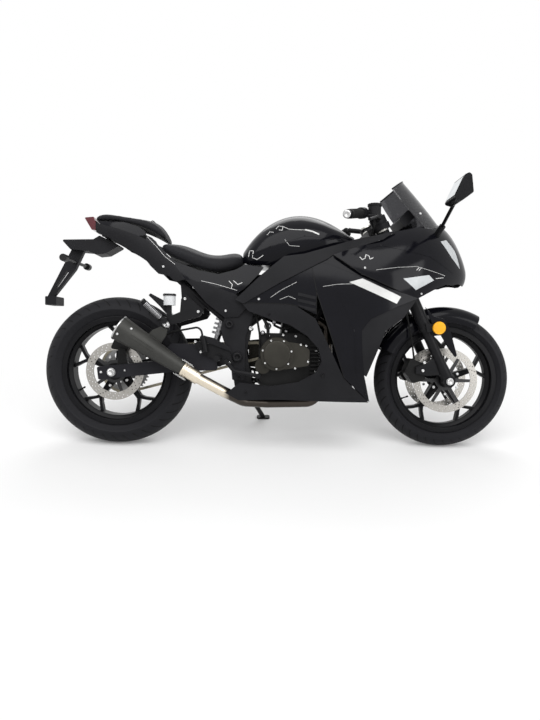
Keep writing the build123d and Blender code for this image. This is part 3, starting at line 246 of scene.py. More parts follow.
def lathe(shape, centre, axis, profile, segments=12):
    """Adds a turned body to a mesh: (radius, height) points about an axis, all in drawing millimetres."""
    axis = Vector(axis).normalized()
    across = axis.orthogonal().normalized()
    third = axis.cross(across)
    rings = []
    for radius, height in profile:
        middle = Vector(centre) + axis * height
        if radius < 0.01:
            rings.append([shape.verts.new(PLACE @ (middle * MM))])
            continue
        ring = []
        for index in range(segments):
            angle = 2 * math.pi * index / segments
            point = middle + (across * math.cos(angle) + third * math.sin(angle)) * radius
            ring.append(shape.verts.new(PLACE @ (point * MM)))
        rings.append(ring)
    for low, high in zip(rings, rings[1:]):
        for index in range(segments):
            after = (index + 1) % segments
            if len(high) == 1:
                shape.faces.new((low[index], low[after], high[0]))
            elif len(low) == 1:
                shape.faces.new((low[0], high[after], high[index]))
            else:
                shape.faces.new((low[index], low[after], high[after], high[index]))


def prism(shape, outline, y_from, y_to):
    """Adds a plate to a mesh from an (x, z) outline, in drawing millimetres."""
    near = [shape.verts.new(put(x, y_from, z)) for x, z in outline]
    far = [shape.verts.new(put(x, y_to, z)) for x, z in outline]
    shape.faces.new(near)
    shape.faces.new(list(reversed(far)))
    for index in range(len(outline)):
        after = (index + 1) % len(outline)
        shape.faces.new((near[index], far[index], far[after], near[after]))


def finish_piece(name, shape, material, body, smooth=True, bevel=0.0):
    """Turns a mesh under construction into a piece that rides on a body."""
    bmesh.ops.recalc_face_normals(shape, faces=shape.faces[:])
    mesh = bpy.data.meshes.new(name)
    shape.to_mesh(mesh)
    shape.free()
    for face in mesh.polygons:
        face.use_smooth = smooth
    piece = bpy.data.objects.new(name, mesh)
    bpy.context.collection.objects.link(piece)
    piece.data.materials.append(MATERIALS[material])
    if bevel:
        rounding = piece.modifiers.new("rounding", "BEVEL")
        rounding.width = bevel
        rounding.segments = 2
        rounding.limit_method = "ANGLE"
    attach(piece, body)
    return piece


def wire(name, points, radius, material, body):
    """A round wire or hose through drawing points, as a mesh piece."""
    data = bpy.data.curves.new(name, "CURVE")
    data.dimensions = "3D"
    data.bevel_depth = radius * MM
    data.bevel_resolution = 3
    data.resolution_u = 6
    line = data.splines.new("NURBS")
    line.points.add(len(points) - 1)
    for point, place in zip(line.points, points):
        point.co = (*put(*place), 1.0)
    line.order_u = 3
    line.use_endpoint_u = True
    curve = bpy.data.objects.new(name + "_curve", data)
    bpy.context.collection.objects.link(curve)
    mesh = bpy.data.meshes.new_from_object(curve.evaluated_get(bpy.context.evaluated_depsgraph_get()))
    bpy.data.objects.remove(curve)
    piece = bpy.data.objects.new(name, mesh)
    bpy.context.collection.objects.link(piece)
    for face in mesh.polygons:
        face.use_smooth = True
    mesh.materials.clear()
    mesh.materials.append(MATERIALS[material])
    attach(piece, body)
    return piece


TREES = {}


def surface(names):
    """A search tree over solids, in the upright drawing, made once for each group of names."""
    if names not in TREES:
        verts, faces = [], []
        for name in names:
            piece = frame["nodes"][name]
            start = len(verts)
            verts.extend(UPRIGHT @ (piece.matrix_world @ vert.co) for vert in piece.data.vertices)
            faces.extend([start + index for index in face.vertices] for face in piece.data.polygons)
        TREES[names] = BVHTree.FromPolygons(verts, faces)
    return TREES[names]


def side_y(names, x, z, side):
    """Where a line from one side first meets the named pieces, as drawing y in millimetres."""
    hit = surface(names).ray_cast(Vector((x * MM, side * OUTSIDE, z * MM)), Vector((0, -side, 0)))
    return None if hit[0] is None else hit[0].y / MM


def laid_line(shape, names, points, width, side, lift=0.5):
    """Adds a painted line that follows the bodywork along (x, z) points."""
    samples = []
    for (x0, z0), (x1, z1) in zip(points, points[1:]):
        run = math.hypot(x1 - x0, z1 - z0)
        steps = max(int(run / LINE_STEP), 1)
        across = (-(z1 - z0) / run * width / 2, (x1 - x0) / run * width / 2)
        for step in range(steps + 1):
            share = step / steps
            samples.append((x0 + (x1 - x0) * share, z0 + (z1 - z0) * share, across))
    last = None
    for x, z, (dx, dz) in samples:
        middle = side_y(names, x, z, side)
        pair = None
        if middle is not None:
            pair = []
            for sign in (-1, 1):
                y = side_y(names, x + sign * dx, z + sign * dz, side)
                if y is None or abs(y - middle) > LARGEST_JUMP:
                    y = middle
                pair.append(shape.verts.new(put(x + sign * dx, y + side * lift, z + sign * dz)))
        if last and pair:
            shape.faces.new((last[0], last[1], pair[1], pair[0]))
        last = pair


def laid_patch(shape, names, corners, side, lift=0.5, across=24, along=10):
    """Adds a painted four-cornered patch that follows the bodywork."""
    (ax, az), (bx, bz), (cx, cz), (dx, dz) = corners
    grid = []
    for row in range(along + 1):
        v = row / along
        line = []
        for column in range(across + 1):
            u = column / across
            x = (ax * (1 - u) + bx * u) * (1 - v) + (dx * (1 - u) + cx * u) * v
            z = (az * (1 - u) + bz * u) * (1 - v) + (dz * (1 - u) + cz * u) * v
            y = side_y(names, x, z, side)
            line.append(None if y is None else shape.verts.new(put(x, y + side * lift, z)))
        grid.append(line)
    for low, high in zip(grid, grid[1:]):
        for column in range(across):
            corner = (low[column], low[column + 1], high[column + 1], high[column])
            if all(corner):
                shape.faces.new(corner)


# Half outline of a socket-head bolt, as shares of its radius and height
BOLT = [(1.0, 0.0), (1.0, 0.55), (0.82, 0.8), (0.5, 0.8), (0.45, 0.35), (0.0, 0.35)]


def bolt(shape, centre, axis, radius, height=None):
    """Adds a socket-head bolt seen from outside."""
    height = height or radius
    lathe(shape, centre, axis, [(r * radius, h * height) for r, h in BOLT], 14)


def bolt_ring(shape, centre, side, reach, count, radius, height=None, first=0.0):
    """Adds bolts in a circle on a face that looks sideways, the first at an angle."""
    x, y, z = centre
    for index in range(count):
        angle = 2 * math.pi * index / count + first
        place = (x + reach * math.cos(angle), y, z + reach * math.sin(angle))
        bolt(shape, place, (0, side, 0), radius, height)


def side_bolts(name, names, table, body, material="axle_steel"):
    """Bolt heads on both side surfaces, from a table of x, z, radius."""
    shape = bmesh.new()
    for x, z, radius in table:
        for side in (-1, 1):
            y = side_y(names, x, z, side)
            if y is not None:
                bolt(shape, (x, y - side * 0.4, z), (0, side, 0), radius)
    finish_piece(name, shape, material, body)


# Wheel patterns in the materials, worked out about each axle


def polar(material, centre):
    """Radius, angle and side offset of a shading point about a wheel's axle, in the leaning wheel."""
    nodes = material.node_tree.nodes
    links = material.node_tree.links
    place = nodes.new("ShaderNodeTexCoord")
    shifted = nodes.new("ShaderNodeVectorMath")
    shifted.operation = "SUBTRACT"
    shifted.inputs[1].default_value = centre
    links.new(place.outputs["Object"], shifted.inputs[0])
    turned = nodes.new("ShaderNodeVectorRotate")
    turned.rotation_type = "X_AXIS"
    turned.inputs["Angle"].default_value = LEAN
    links.new(shifted.outputs[0], turned.inputs["Vector"])
    split = nodes.new("ShaderNodeSeparateXYZ")
    links.new(turned.outputs[0], split.inputs[0])
    x, y, z = split.outputs
    work = partial(math_node, material)
    radius = work("SQRT", work("ADD", work("MULTIPLY", x, x), work("MULTIPLY", z, z)))
    angle = work("ARCTAN2", z, x)
    return radius, angle, y


def math_node(material, operation, first, second=0.0, third=None):
    """One arithmetic node, fed by numbers or by other nodes' outputs."""
    node = material.node_tree.nodes.new("ShaderNodeMath")
    node.operation = operation
    for socket, value in zip(node.inputs, (first, second, third)):
        if value is None:
            continue
        if isinstance(value, (int, float)):
            socket.default_value = value
        else:
            material.node_tree.links.new(value, socket)
    return node.outputs[0]


def feed(material, socket, output):
    """Drives a shader value by another node's output."""
    material.node_tree.links.new(output, principled(material).inputs[socket])


def two_colors(material, mask, low, high):
    """Base colour that goes from one to the other by a mask."""
    mix = material.node_tree.nodes.new("ShaderNodeMix")
    mix.data_type = "RGBA"
    mix.inputs[6].default_value = (*low, 1.0)
    mix.inputs[7].default_value = (*high, 1.0)
    material.node_tree.links.new(mask, mix.inputs[0])
    feed(material, "Base Color", mix.outputs[2])


def tread_tyre(name, centre, blocks, half_width, crown_radius):
    """Rubber with slanting grooves across the tread, painted darker as painted shade in them, and fine rings
    on the sidewall.
    """
    material = painted(name, (0.012, 0.012, 0.013), 0.56, 0.08, 900.0, 0.3)
    radius, angle, y = polar(material, centre)
    work = partial(math_node, material)
    reach = work("ABSOLUTE", y)
    turn = work("MULTIPLY", angle, blocks / (2 * math.pi))
    side = work("SIGN", y)
    slanted = work("ADD", turn, work("MULTIPLY", reach, 26.0))
    slanted = work("ADD", slanted, work("MULTIPLY", side, 0.25))
    share = work("FRACT", slanted)
    narrow = work("LESS_THAN", share, 0.11)
    outer = work("GREATER_THAN", reach, 0.012)
    inner = work("LESS_THAN", reach, half_width * 0.93)
    on_tread = work("GREATER_THAN", radius, crown_radius)
    groove = work("MULTIPLY", work("MULTIPLY", narrow, outer), inner)
    groove = work("MULTIPLY", groove, on_tread)
    rings = work("SINE", work("MULTIPLY", radius, 2600.0))
    on_wall = work("SUBTRACT", 1.0, on_tread)
    rings = work("MULTIPLY", work("MULTIPLY", rings, 0.05), on_wall)
    height = work("ADD", work("SUBTRACT", 1.0, groove), rings)
    relief = material.node_tree.nodes.new("ShaderNodeBump")
    relief.inputs["Strength"].default_value = 1.0
    relief.inputs["Distance"].default_value = 0.003
    material.node_tree.links.new(height, relief.inputs["Height"])
    feed(material, "Normal", relief.outputs["Normal"])
    # Painted shade: the grooves' base colour is darker than the tread's, as if shade fell into them.
    two_colors(material, groove, (0.014, 0.014, 0.016), (0.003, 0.003, 0.003))
    return material


def drilled_disc(name, centre, ring_inner, rows, holes):
    """Polished ring with rows of holes, on a black carrier. Sizes are in metres."""
    hole_radius = 0.0024
    material = brushed(name, (0.55, 0.53, 0.49), 0.28)
    radius, angle, _ = polar(material, centre)
    work = partial(math_node, material)
    ring = work("GREATER_THAN", radius, ring_inner)
    two_colors(material, ring, (0.009, 0.009, 0.01), (0.4, 0.385, 0.36))
    metal = work("ADD", work("MULTIPLY", ring, 0.9), 0.1)
    feed(material, "Metallic", metal)
    hole = None
    for index, row in enumerate(rows):
        turn = work("MULTIPLY", angle, holes / (2 * math.pi))
        share = work("FRACT", work("ADD", turn, index * 0.36 + 8.0))
        pitch = 2 * math.pi * row / holes
        along = work("MULTIPLY", work("SUBTRACT", share, 0.5), pitch)
        away = work("SUBTRACT", radius, row)
        span = work("ADD", work("MULTIPLY", along, along), work("MULTIPLY", away, away))
        dot = work("LESS_THAN", span, hole_radius**2)
        hole = dot if hole is None else work("MAXIMUM", hole, dot)
    feed(material, "Alpha", work("SUBTRACT", 1.0, hole))
    return material


def header_pipe():
    """Bright link pipe that turns dark where the header runs under the engine."""
    material = brushed("header_steel", BRIGHT_STEEL, 0.3)
    work = partial(math_node, material)
    place = material.node_tree.nodes.new("ShaderNodeTexCoord")
    parts = material.node_tree.nodes.new("ShaderNodeSeparateXYZ")
    material.node_tree.links.new(place.outputs["Object"], parts.inputs[0])
    front = put(458, 0, 250).x
    ahead = work("MULTIPLY", work("SUBTRACT", parts.outputs["X"], front), 40.0)
    ahead = work("MINIMUM", work("MAXIMUM", ahead, 0.0), 1.0)
    two_colors(material, ahead, BRIGHT_STEEL, (0.06, 0.052, 0.045))
    return material


# Camera, floor and light


def make_camera():
    """The photograph's viewpoint. Its place and angles are given in the drawing, which leans."""
    yaw, pitch, roll = CAMERA_YAW, CAMERA_PITCH, CAMERA_ROLL
    forward = Vector((math.sin(yaw) * math.cos(pitch), math.cos(yaw) * math.cos(pitch), -math.sin(pitch)))
    level = Vector((math.cos(yaw), -math.sin(yaw), 0.0))
    above = level.cross(forward)
    right = math.cos(roll) * level + math.sin(roll) * above
    up = -math.sin(roll) * level + math.cos(roll) * above
    turn = Matrix((right, up, -forward)).transposed().to_4x4()
    data = bpy.data.cameras.new("camera")
    data.sensor_fit = "VERTICAL"
    data.sensor_height = 36.0
    data.sensor_width = 27.0
    data.lens = FOCAL_PIXELS / FRAME_HEIGHT * data.sensor_height
    data.clip_end = 60.0
    camera = bpy.data.objects.new("camera", data)
    bpy.context.collection.objects.link(camera)
    camera.matrix_world = PLACE @ Matrix.Translation(Vector(CAMERA_PLACE)) @ turn
    bpy.context.scene.camera = camera


def looked_at(owner):
    """One for rays from the camera, a reflection or a lens, and zero for all others."""
    rays = owner.node_tree.nodes.new("ShaderNodeLightPath")
    direct = rays.outputs["Is Camera Ray"]
    for kind in ("Is Glossy Ray", "Is Transmission Ray"):
        direct = math_node(owner, "MAXIMUM", direct, rays.outputs[kind])
    return direct


def light_paths(material):
    """White where the camera, a reflection or a lens looks past the motorcycle."""
    nodes = material.node_tree.nodes
    links = material.node_tree.links
    shader = principled(material)
    place = nodes.new("ShaderNodeTexCoord")
    distance = nodes.new("ShaderNodeVectorMath")
    distance.operation = "LENGTH"
    links.new(place.outputs["Object"], distance.inputs[0])
    fade = nodes.new("ShaderNodeMapRange")
    fade.interpolation_type = "SMOOTHSTEP"
    fade.inputs["From Min"].default_value = 0.9
    fade.inputs["From Max"].default_value = 1.9
    fade.inputs["To Min"].default_value = 0.1
    fade.inputs["To Max"].default_value = 1.0
    links.new(distance.outputs["Value"], fade.inputs["Value"])
    white = nodes.new("ShaderNodeEmission")
    white.inputs["Strength"].default_value = 1.0
    glow = nodes.new("ShaderNodeMixShader")
    links.new(fade.outputs["Result"], glow.inputs[0])
    links.new(shader.outputs[0], glow.inputs[1])
    links.new(white.outputs[0], glow.inputs[2])
    seen = nodes.new("ShaderNodeMixShader")
    links.new(looked_at(material), seen.inputs[0])
    links.new(shader.outputs[0], seen.inputs[1])
    links.new(glow.outputs[0], seen.inputs[2])
    links.new(seen.outputs[0], nodes["Material Output"].inputs["Surface"])


def make_floor():
    """A pale floor that curves up into a plain white backdrop."""
    shape = bmesh.new()
    bend_y, bend_radius, height = 4.0, 2.0, 6.0
    near_y, half_width, steps = -9.0, 12.0, 12
    profile = [(near_y, 0.0), (bend_y, 0.0)]
    for step in range(1, steps + 1):
        angle = math.pi / 2 * step / steps
        profile.append((bend_y + bend_radius * math.sin(angle), bend_radius * (1 - math.cos(angle))))
    profile.append((bend_y + bend_radius, height))
    rows = []
    for y, z in profile:
        rows.append([shape.verts.new((x, y, z)) for x in (-half_width, half_width)])
    for low, high in zip(rows, rows[1:]):
        shape.faces.new((low[0], low[1], high[1], high[0]))
    mesh = bpy.data.meshes.new("floor")
    shape.to_mesh(mesh)
    shape.free()
    for face in mesh.polygons:
        face.use_smooth = True
    floor = bpy.data.objects.new("floor", mesh)
    bpy.context.collection.objects.link(floor)
    material = new_material("floor", (0.86, 0.86, 0.86), 0.8)
    principled(material).inputs["Specular IOR Level"].default_value = 0.1
    light_paths(material)
    floor.data.materials.append(material)


def area_light(name, place, target, size, power):
    """A rectangular light at one place that faces another, with its power in watts."""
    data = bpy.data.lights.new(name, "AREA")
    data.shape = "RECTANGLE"
    data.size, data.size_y = size
    data.energy = power
    light = bpy.data.objects.new(name, data)
    bpy.context.collection.objects.link(light)
    light.location = place
    light.rotation_euler = (Vector(target) - Vector(place)).to_track_quat("-Z", "Y").to_euler()


def make_lights():
    """White surroundings, dimmer as a light than as a view, and three large lights."""
    world = bpy.data.worlds.new("studio")
    bpy.context.scene.world = world
    world.use_nodes = True
    background = world.node_tree.nodes["Background"]
    background.inputs["Color"].default_value = (1.0, 1.0, 1.0, 1.0)
    ambient = 0.5
    strength = math_node(world, "MULTIPLY_ADD", looked_at(world), 1.0 - ambient, ambient)
    world.node_tree.links.new(strength, background.inputs["Strength"])
    area_light("key", (-0.6, -2.6, 4.2), (0, 0, 0.4), (6.0, 3.4), 190.0)
    area_light("fill", (3.6, -3.4, 1.7), (0.2, 0, 0.5), (2.4, 2.6), 60.0)
    area_light("rim", (0.3, 2.6, 3.4), (0, 0, 0.6), (4.0, 2.0), 60.0)


# The details of each region


def graphic_lines_and_painted_highlight():
    """Plain white lines and one blank stripe on each side, a generic design, with one thin white line along
    the nose crease that is a painted highlight.
    """
    tank = ("fuel_tank",)
    tail = ("tail_panels", "side_covers")
    nose = ("nose_fairing",)
    front = ("side_fairings",)
    lines = [
        (tank, [(552, 802), (557, 828), (573, 826), (568, 798), (588, 790), (614, 806)], 3.0),
        (tank, [(628, 892), (640, 906), (655, 902)], 2.2),
        (tank, [(664, 916), (676, 930), (694, 926), (690, 908), (676, 912)], 2.2),
        (tank, [(694, 926), (716, 912), (742, 908), (782, 905)], 2.0),
        (tank, [(782, 906), (812, 898), (838, 886)], 6.0),
        (tank, [(700, 868), (720, 842), (760, 838)], 1.4),
        (tail, [(365, 692), (430, 678), (510, 656)], 1.6),
        (tail, [(476, 694), (490, 680), (486, 662)], 2.6),
        (tail, [(494, 696), (512, 680), (530, 688)], 2.6),
        (tail, [(140, 870), (178, 832), (214, 790), (258, 757)], 1.4),
        (tail, [(222, 800), (238, 786), (252, 792)], 2.4),
        (nose, [
            (990, 788), (1000, 777), (1011, 783), (1015, 798), (1027, 793), (1031, 780), (1044, 786),
        ], 3.0),
        (nose, [(1220, 742), (1232, 754)], 2.4),
        (nose, [(1230, 741), (1242, 753)], 2.4),
        # Painted highlight: a thin white line where the nose crease catches the light, not part of the
        # design.
        (nose, [(1054, 738), (1140, 750), (1222, 757), (1360, 730)], 1.2),
        (nose, [(1312, 716), (1352, 722)], 2.2),
        (front, [(645, 628), (684, 656), (748, 690)], 1.4),
        (front, [(850, 672), (905, 681), (982, 684)], 1.2),
        (front, [(682, 620), (716, 634), (744, 622)], 1.4),
        (front, [(1036, 470), (1050, 500), (1058, 520)], 3.0),
    ]
    shape = bmesh.new()
    for side in (-1, 1):
        for names, points, width in lines:
            laid_line(shape, names, points, width, side)
        laid_patch(shape, front, [(952, 690), (1004, 705), (1160, 636), (1142, 608)], side, 0.6)
    finish_piece("graphic_lines_and_highlight", shape, "white_paint", "chassis")


def panel_lines():
    """Dark seams between panels, raised creases and the slanted vent bars."""
    both_skins = ("side_fairings", "lower_fairings")
    seams = [
        (both_skins, [(825, 653), (943, 311), (1052, 211)], 3.0),
        (both_skins, [(826, 562), (826, 652), (806, 752)], 2.6),
        (both_skins, [(543, 606), (588, 606), (721, 602), (755, 592), (822, 548)], 3.0),
        (("side_fairings", "nose_fairing"), [(888, 797), (996, 722), (1160, 654), (1234, 632)], 3.0),
    ]
    creases = [
        (("side_fairings",), [(838, 770), (872, 764), (994, 714), (1156, 647)], 4.0),
        (("nose_fairing",), [(955, 800), (1079, 840), (1281, 801), (1400, 745)], 4.0),
        (("side_fairings",), [(905, 655), (975, 500), (990, 330)], 3.0),
        (("fuel_tank",), [(560, 806), (640, 840), (780, 880), (900, 870)], 3.5),
    ]
    for name, lines, material, lift in (
        ("panel_seams", seams, "hose_rubber", 0.4),
        ("panel_creases", creases, "gloss_black", 1.0),
    ):
        shape = bmesh.new()
        for side in (-1, 1):
            for names, points, width in lines:
                laid_line(shape, names, points, width, side, lift)
        finish_piece(name, shape, material, "chassis")
    shape = bmesh.new()
    for side in (-1, 1):
        for index in range(3):
            low = 574 + index * 24
            corners = [(752, low + 14), (822, low - 2), (824, low + 10), (754, low + 26)]
            laid_patch(shape, both_skins, corners, side, 2.5, 10, 3)
    finish_piece("vent_bars", shape, "matte_plastic", "chassis")


def fairing_joint():
    """Inner lap that backs the seam between the side and lower fairings at their front tip."""
    shape = bmesh.new()
    for side in (-1, 1):
        prism(shape, [(962, 312), (984, 312), (1056, 212), (1030, 212)], side * 150, side * 151.5)
    finish_piece("fairing_laps", shape, "hose_rubber", "chassis", smooth=False)


def fasteners():
    """Bolts and plugs of the panels, brackets, pivots, fork feet, axle and hubs."""
    side_bolts("bright_bolts", ("footrests",), [
        (300, 619, 6.0), (354, 568, 6.0), (342, 446, 5.5), (464, 423, 5.5), (480, 362, 5.5), (364, 404, 5.5),
    ], "chassis")
    side_bolts("cover_bolts", ("side_covers", "side_fairings", "tail_panels"), [
        (464, 573, 5.0), (598, 621, 5.0), (210, 748, 5.0),
    ], "chassis")
    side_bolts("dark_bolts", ("lower_fairings", "side_fairings"), [
        (858, 320, 7.5), (551, 240, 6.0), (1036, 246, 5.0), (640, 560, 5.0),
    ], "chassis", "bar_black")
    side_bolts("nose_bolts", ("nose_fairing", "side_fairings"), [
        (1250, 652, 4.0), (1010, 745, 4.5), (1330, 915, 4.0),
    ], "chassis")
    side_bolts("pivot_plugs", ("pivot_covers",), [(479, 519, 17.0)], "chassis", "matte_plastic")
    side_bolts("pivot_bolts", ("pivot_covers", "frame"), [
        (513, 386, 21.0), (520, 300, 8.0),
    ], "chassis", "bar_black")
    side_bolts("frame_bolts", ("pivot_covers", "frame", "engine"), [(566, 504, 9.0)], "chassis")
    shape = bmesh.new()
    for side in (-1, 1):
        bolt(shape, (1296, side * 104, 372), (0, side, 0), 6.5)
        bolt(shape, (1290, side * 104, 338), (0, side, 0), 6.5)
        lathe(shape, (1402, side * 119.5, 294.2), (0, side, 0), [(13, 0), (13, 5), (9, 5), (8, 1), (0, 1)], 6)
    finish_piece("fork_bolts", shape, "axle_steel", "steering")
    shape = bmesh.new()
    for side in (-1, 1):
        lathe(shape, (0, side * 139.5, 316.6), (0, side, 0), [(16, 0), (16, 9), (10, 10), (9, 6), (0, 6)], 6)
        bolt(shape, (-44, side * 128, 316), (0, side, 0), 5.5)
        bolt(shape, (52, side * 128, 324), (0, side, 0), 4.0)
    finish_piece("axle_nuts", shape, "axle_steel", "chassis")
    wheels = [
        ("front_wheel", FRONT_AXLE, 64.3, 58.0, 6, (-1, 1)),
        ("rear_wheel", REAR_AXLE, 86.3, 62.0, 5, (-1,)),
    ]
    for body, axle, face, reach, count, sides in wheels:
        middle = UPRIGHT @ axle / MM
        shape = bmesh.new()
        for side in sides:
            bolt_ring(shape, (middle.x, side * face, middle.z), side, reach, count, 6.0, 5.0, math.pi / count)
        finish_piece(body + "_bolts", shape, "axle_steel", body)


def mirrored(profile):
    """The same (radius, height) points on the other side, in the order that closes the outline."""
    return [(radius, -height) for radius, height in reversed(profile)]


def cast_wheel(end, axle, width, hub_radius, hub_half, bore, depth):
    """A cast rim whose five spokes fork near the rim's drop centre."""
    middle = UPRIGHT @ axle / MM
    centre = Vector((middle.x, 0, middle.z))
    half = width / 2
    seat, ledge, well = half - 6, half - 20, half - 30
    shape = bmesh.new()
    outer = [
        (FLANGE_RADIUS, half), (FLANGE_RADIUS, seat), (BEAD_RADIUS, seat), (BEAD_RADIUS, ledge),
        (WELL_RADIUS, well),
    ]
    inner = [(WELL_INSIDE, well), (LEDGE_INSIDE, ledge), (LEDGE_INSIDE, half)]
    lathe(shape, centre, (0, 1, 0), outer + mirrored(outer) + mirrored(inner) + inner + outer[:1], 128)
    hub = [
        (bore, -hub_half), (hub_radius, -hub_half), (hub_radius, -depth), (hub_radius + 8, -depth * 0.5),
    ]
    lathe(shape, centre, (0, 1, 0), hub + mirrored(hub) + hub[:1], 64)
    # A spoke's two parts, each as reach from the axle and distance from the spoke's middle line
    trunk = [(hub_radius + 2, 0), (hub_radius + 2, 17), (104, 12), (142, 11.5), (152, 0)]
    arm = [(142, 11.5), (158, 22), (184, 50), (195, 62), (198, 46), (176, 22), (152, 0)]
    for index in range(SPOKES):
        turn = 2 * math.pi / SPOKES * index + math.pi / 2
        out = Vector((math.cos(turn), math.sin(turn)))
        across = Vector((-out.y, out.x))

        def at(reach, side):
            """A point of this spoke as drawing x and z."""
            point = out * reach + across * side
            return (centre.x + point.x, centre.z + point.y)

        for side in (-1, 1):
            prism(shape, [at(reach, side * away) for reach, away in trunk], -depth / 2, depth / 2)
            prism(shape, [at(reach, side * away) for reach, away in arm], -depth * 0.44, depth * 0.44)
    name = end + "_cast_wheel"
    piece = finish_piece(name, shape, "wheel_black", end + "_wheel", smooth=False, bevel=0.0015)
    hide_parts(end + "_rim")


def make_wheels():
    """Both cast wheels, which stand for the rims of the solids."""
    cast_wheel("front", FRONT_AXLE, width=88, hub_radius=30, hub_half=66, bore=10.05, depth=30)
    cast_wheel("rear", REAR_AXLE, width=120, hub_radius=36, hub_half=90, bore=9.05, depth=34)


def valve_stems():
    """A rubber valve in each rim's well, bent towards the right."""
    angle = math.radians(207)
    out = Vector((math.cos(angle), 0, math.sin(angle)))
    stem = [(4.5, 0), (4.5, 10), (3, 12), (3, 30), (4, 30), (4, 38), (0, 38)]
    for body, axle in (("front_wheel", FRONT_AXLE), ("rear_wheel", REAR_AXLE)):
        middle = UPRIGHT @ axle / MM
        root = Vector((middle.x, 0, middle.z)) + out * 196
        shape = bmesh.new()
        lathe(shape, root, -out + Vector((0, -0.7, 0)), stem)
        finish_piece(body + "_valve", shape, "hose_rubber", body)


def spring(name, start, end, radius, wire_radius, turns, body):
    """A small coil spring between two drawing points, with straight ends."""
    first, last = Vector(start), Vector(end)
    run = last - first
    across = run.orthogonal().normalized()
    third = run.normalized().cross(across)
    points = [first]
    points_a_turn = 8
    steps = turns * points_a_turn
    straight_share = 0.12
    for index in range(steps + 1):
        angle = 2 * math.pi * index / points_a_turn
        share = straight_share + (1 - 2 * straight_share) * index / steps
        points.append(first + run * share + (across * math.cos(angle) + third * math.sin(angle)) * radius)
    points.append(last)
    wire(name, [tuple(point) for point in points], wire_radius, "axle_steel", body)


def muffler_details():
    """End cap, bolts, ribs, clamp and springs of the muffler, a cone that widens to its tail."""
    nose = Vector((303, -190, 337))
    tail = Vector((49, -190, 496))
    tail_radius, taper, length = 51.0, 24.0, 300.0
    run = (tail - nose).normalized()
    side = Vector((0, -1, 0))
    above = run.cross(side).normalized()
    if above.z < 0:
        above = -above

    def outward(turn):
        """The direction away from the middle line, turned about it from the right side."""
        return side * math.cos(turn) + above * math.sin(turn)

    shape = bmesh.new()
    lathe(shape, tail - run * 17.6, run, [(45.2, 0), (45.2, 2), (27, 2), (27, 0)], 48)
    lathe(shape, tail - run * 20, run, [(27.5, 0), (27.5, 14), (24.5, 14), (24.5, 0)], 40)
    for index in range(6):
        angle = math.pi * (index + 0.5) / 3
        bolt(shape, tail - run * 15.6 + outward(angle) * 38, run, 4.0, 3.5)
    finish_piece("muffler_cap", shape, "cap_metal", "chassis")
    shape = bmesh.new()
    lathe(shape, tail - run * 2, run, [(51.3, 0), (52.6, 1), (52.6, 5), (47, 6), (47, 0)], 56)
    for share, turn in ((0.16, 0.62), (0.05, -0.35)):
        radius = tail_radius - taper * share
        out = outward(turn)
        bolt(shape, tail - run * (share * length) + out * (radius - 0.6), out, 5.0, 4.0)
    finish_piece("muffler_trim", shape, "axle_steel", "chassis")
    shape = bmesh.new()
    for offset in (-5.0, 5.0):
        start = tail - run * 62
        rows = []
        for step in range(9):
            at = start - run * (step * 12.5)
            reach = tail_radius - taper * (tail - at).length / length
            out = outward(offset / reach + 0.1)
            lean = run.cross(out).normalized()
            rows.append([
                shape.verts.new(PLACE @ ((at + out * (reach + height) + lean * width) * MM))
                for height, width in ((-0.5, -2.0), (1.4, -1.3), (1.4, 1.3), (-0.5, 2.0))
            ])
        for low, high in zip(rows, rows[1:]):
            for index in range(3):
                shape.faces.new((low[index], low[index + 1], high[index + 1], high[index]))
    finish_piece("muffler_ribs", shape, "muffler_grey", "chassis")
    shape = bmesh.new()
    clamp = [(27.2, 0), (29.5, 1), (29.5, 5), (27.2, 6), (27.2, 11), (30, 12), (30, 20), (27, 21)]
    lathe(shape, nose - run * 16, run, clamp, 48)
    for back in (34, 52):
        lathe(shape, nose - run * back, run, [(27.0, 0), (28.0, 1.5), (27.0, 3)], 40)
    finish_piece("muffler_clamp", shape, "pipe_steel", "chassis")
    for index, turn in enumerate((1.15, -1.15)):
        out = outward(turn)
        back, front = nose - run * 30 + out * 34, nose + run * 26 + out * 35
        spring(f"muffler_spring_{index}", back, front, 4.0, 0.9, 9, "chassis")
    hanger = (225, -158, 512)
    shape = bmesh.new()
    bolt(shape, hanger, (0, -1, 0), 11.0, 9.0)
    lathe(shape, hanger, (0, -1, 0), [(15, 0), (15, 2.5), (0, 2.5)], 24)
    finish_piece("hanger_bolt", shape, "axle_steel", "chassis")


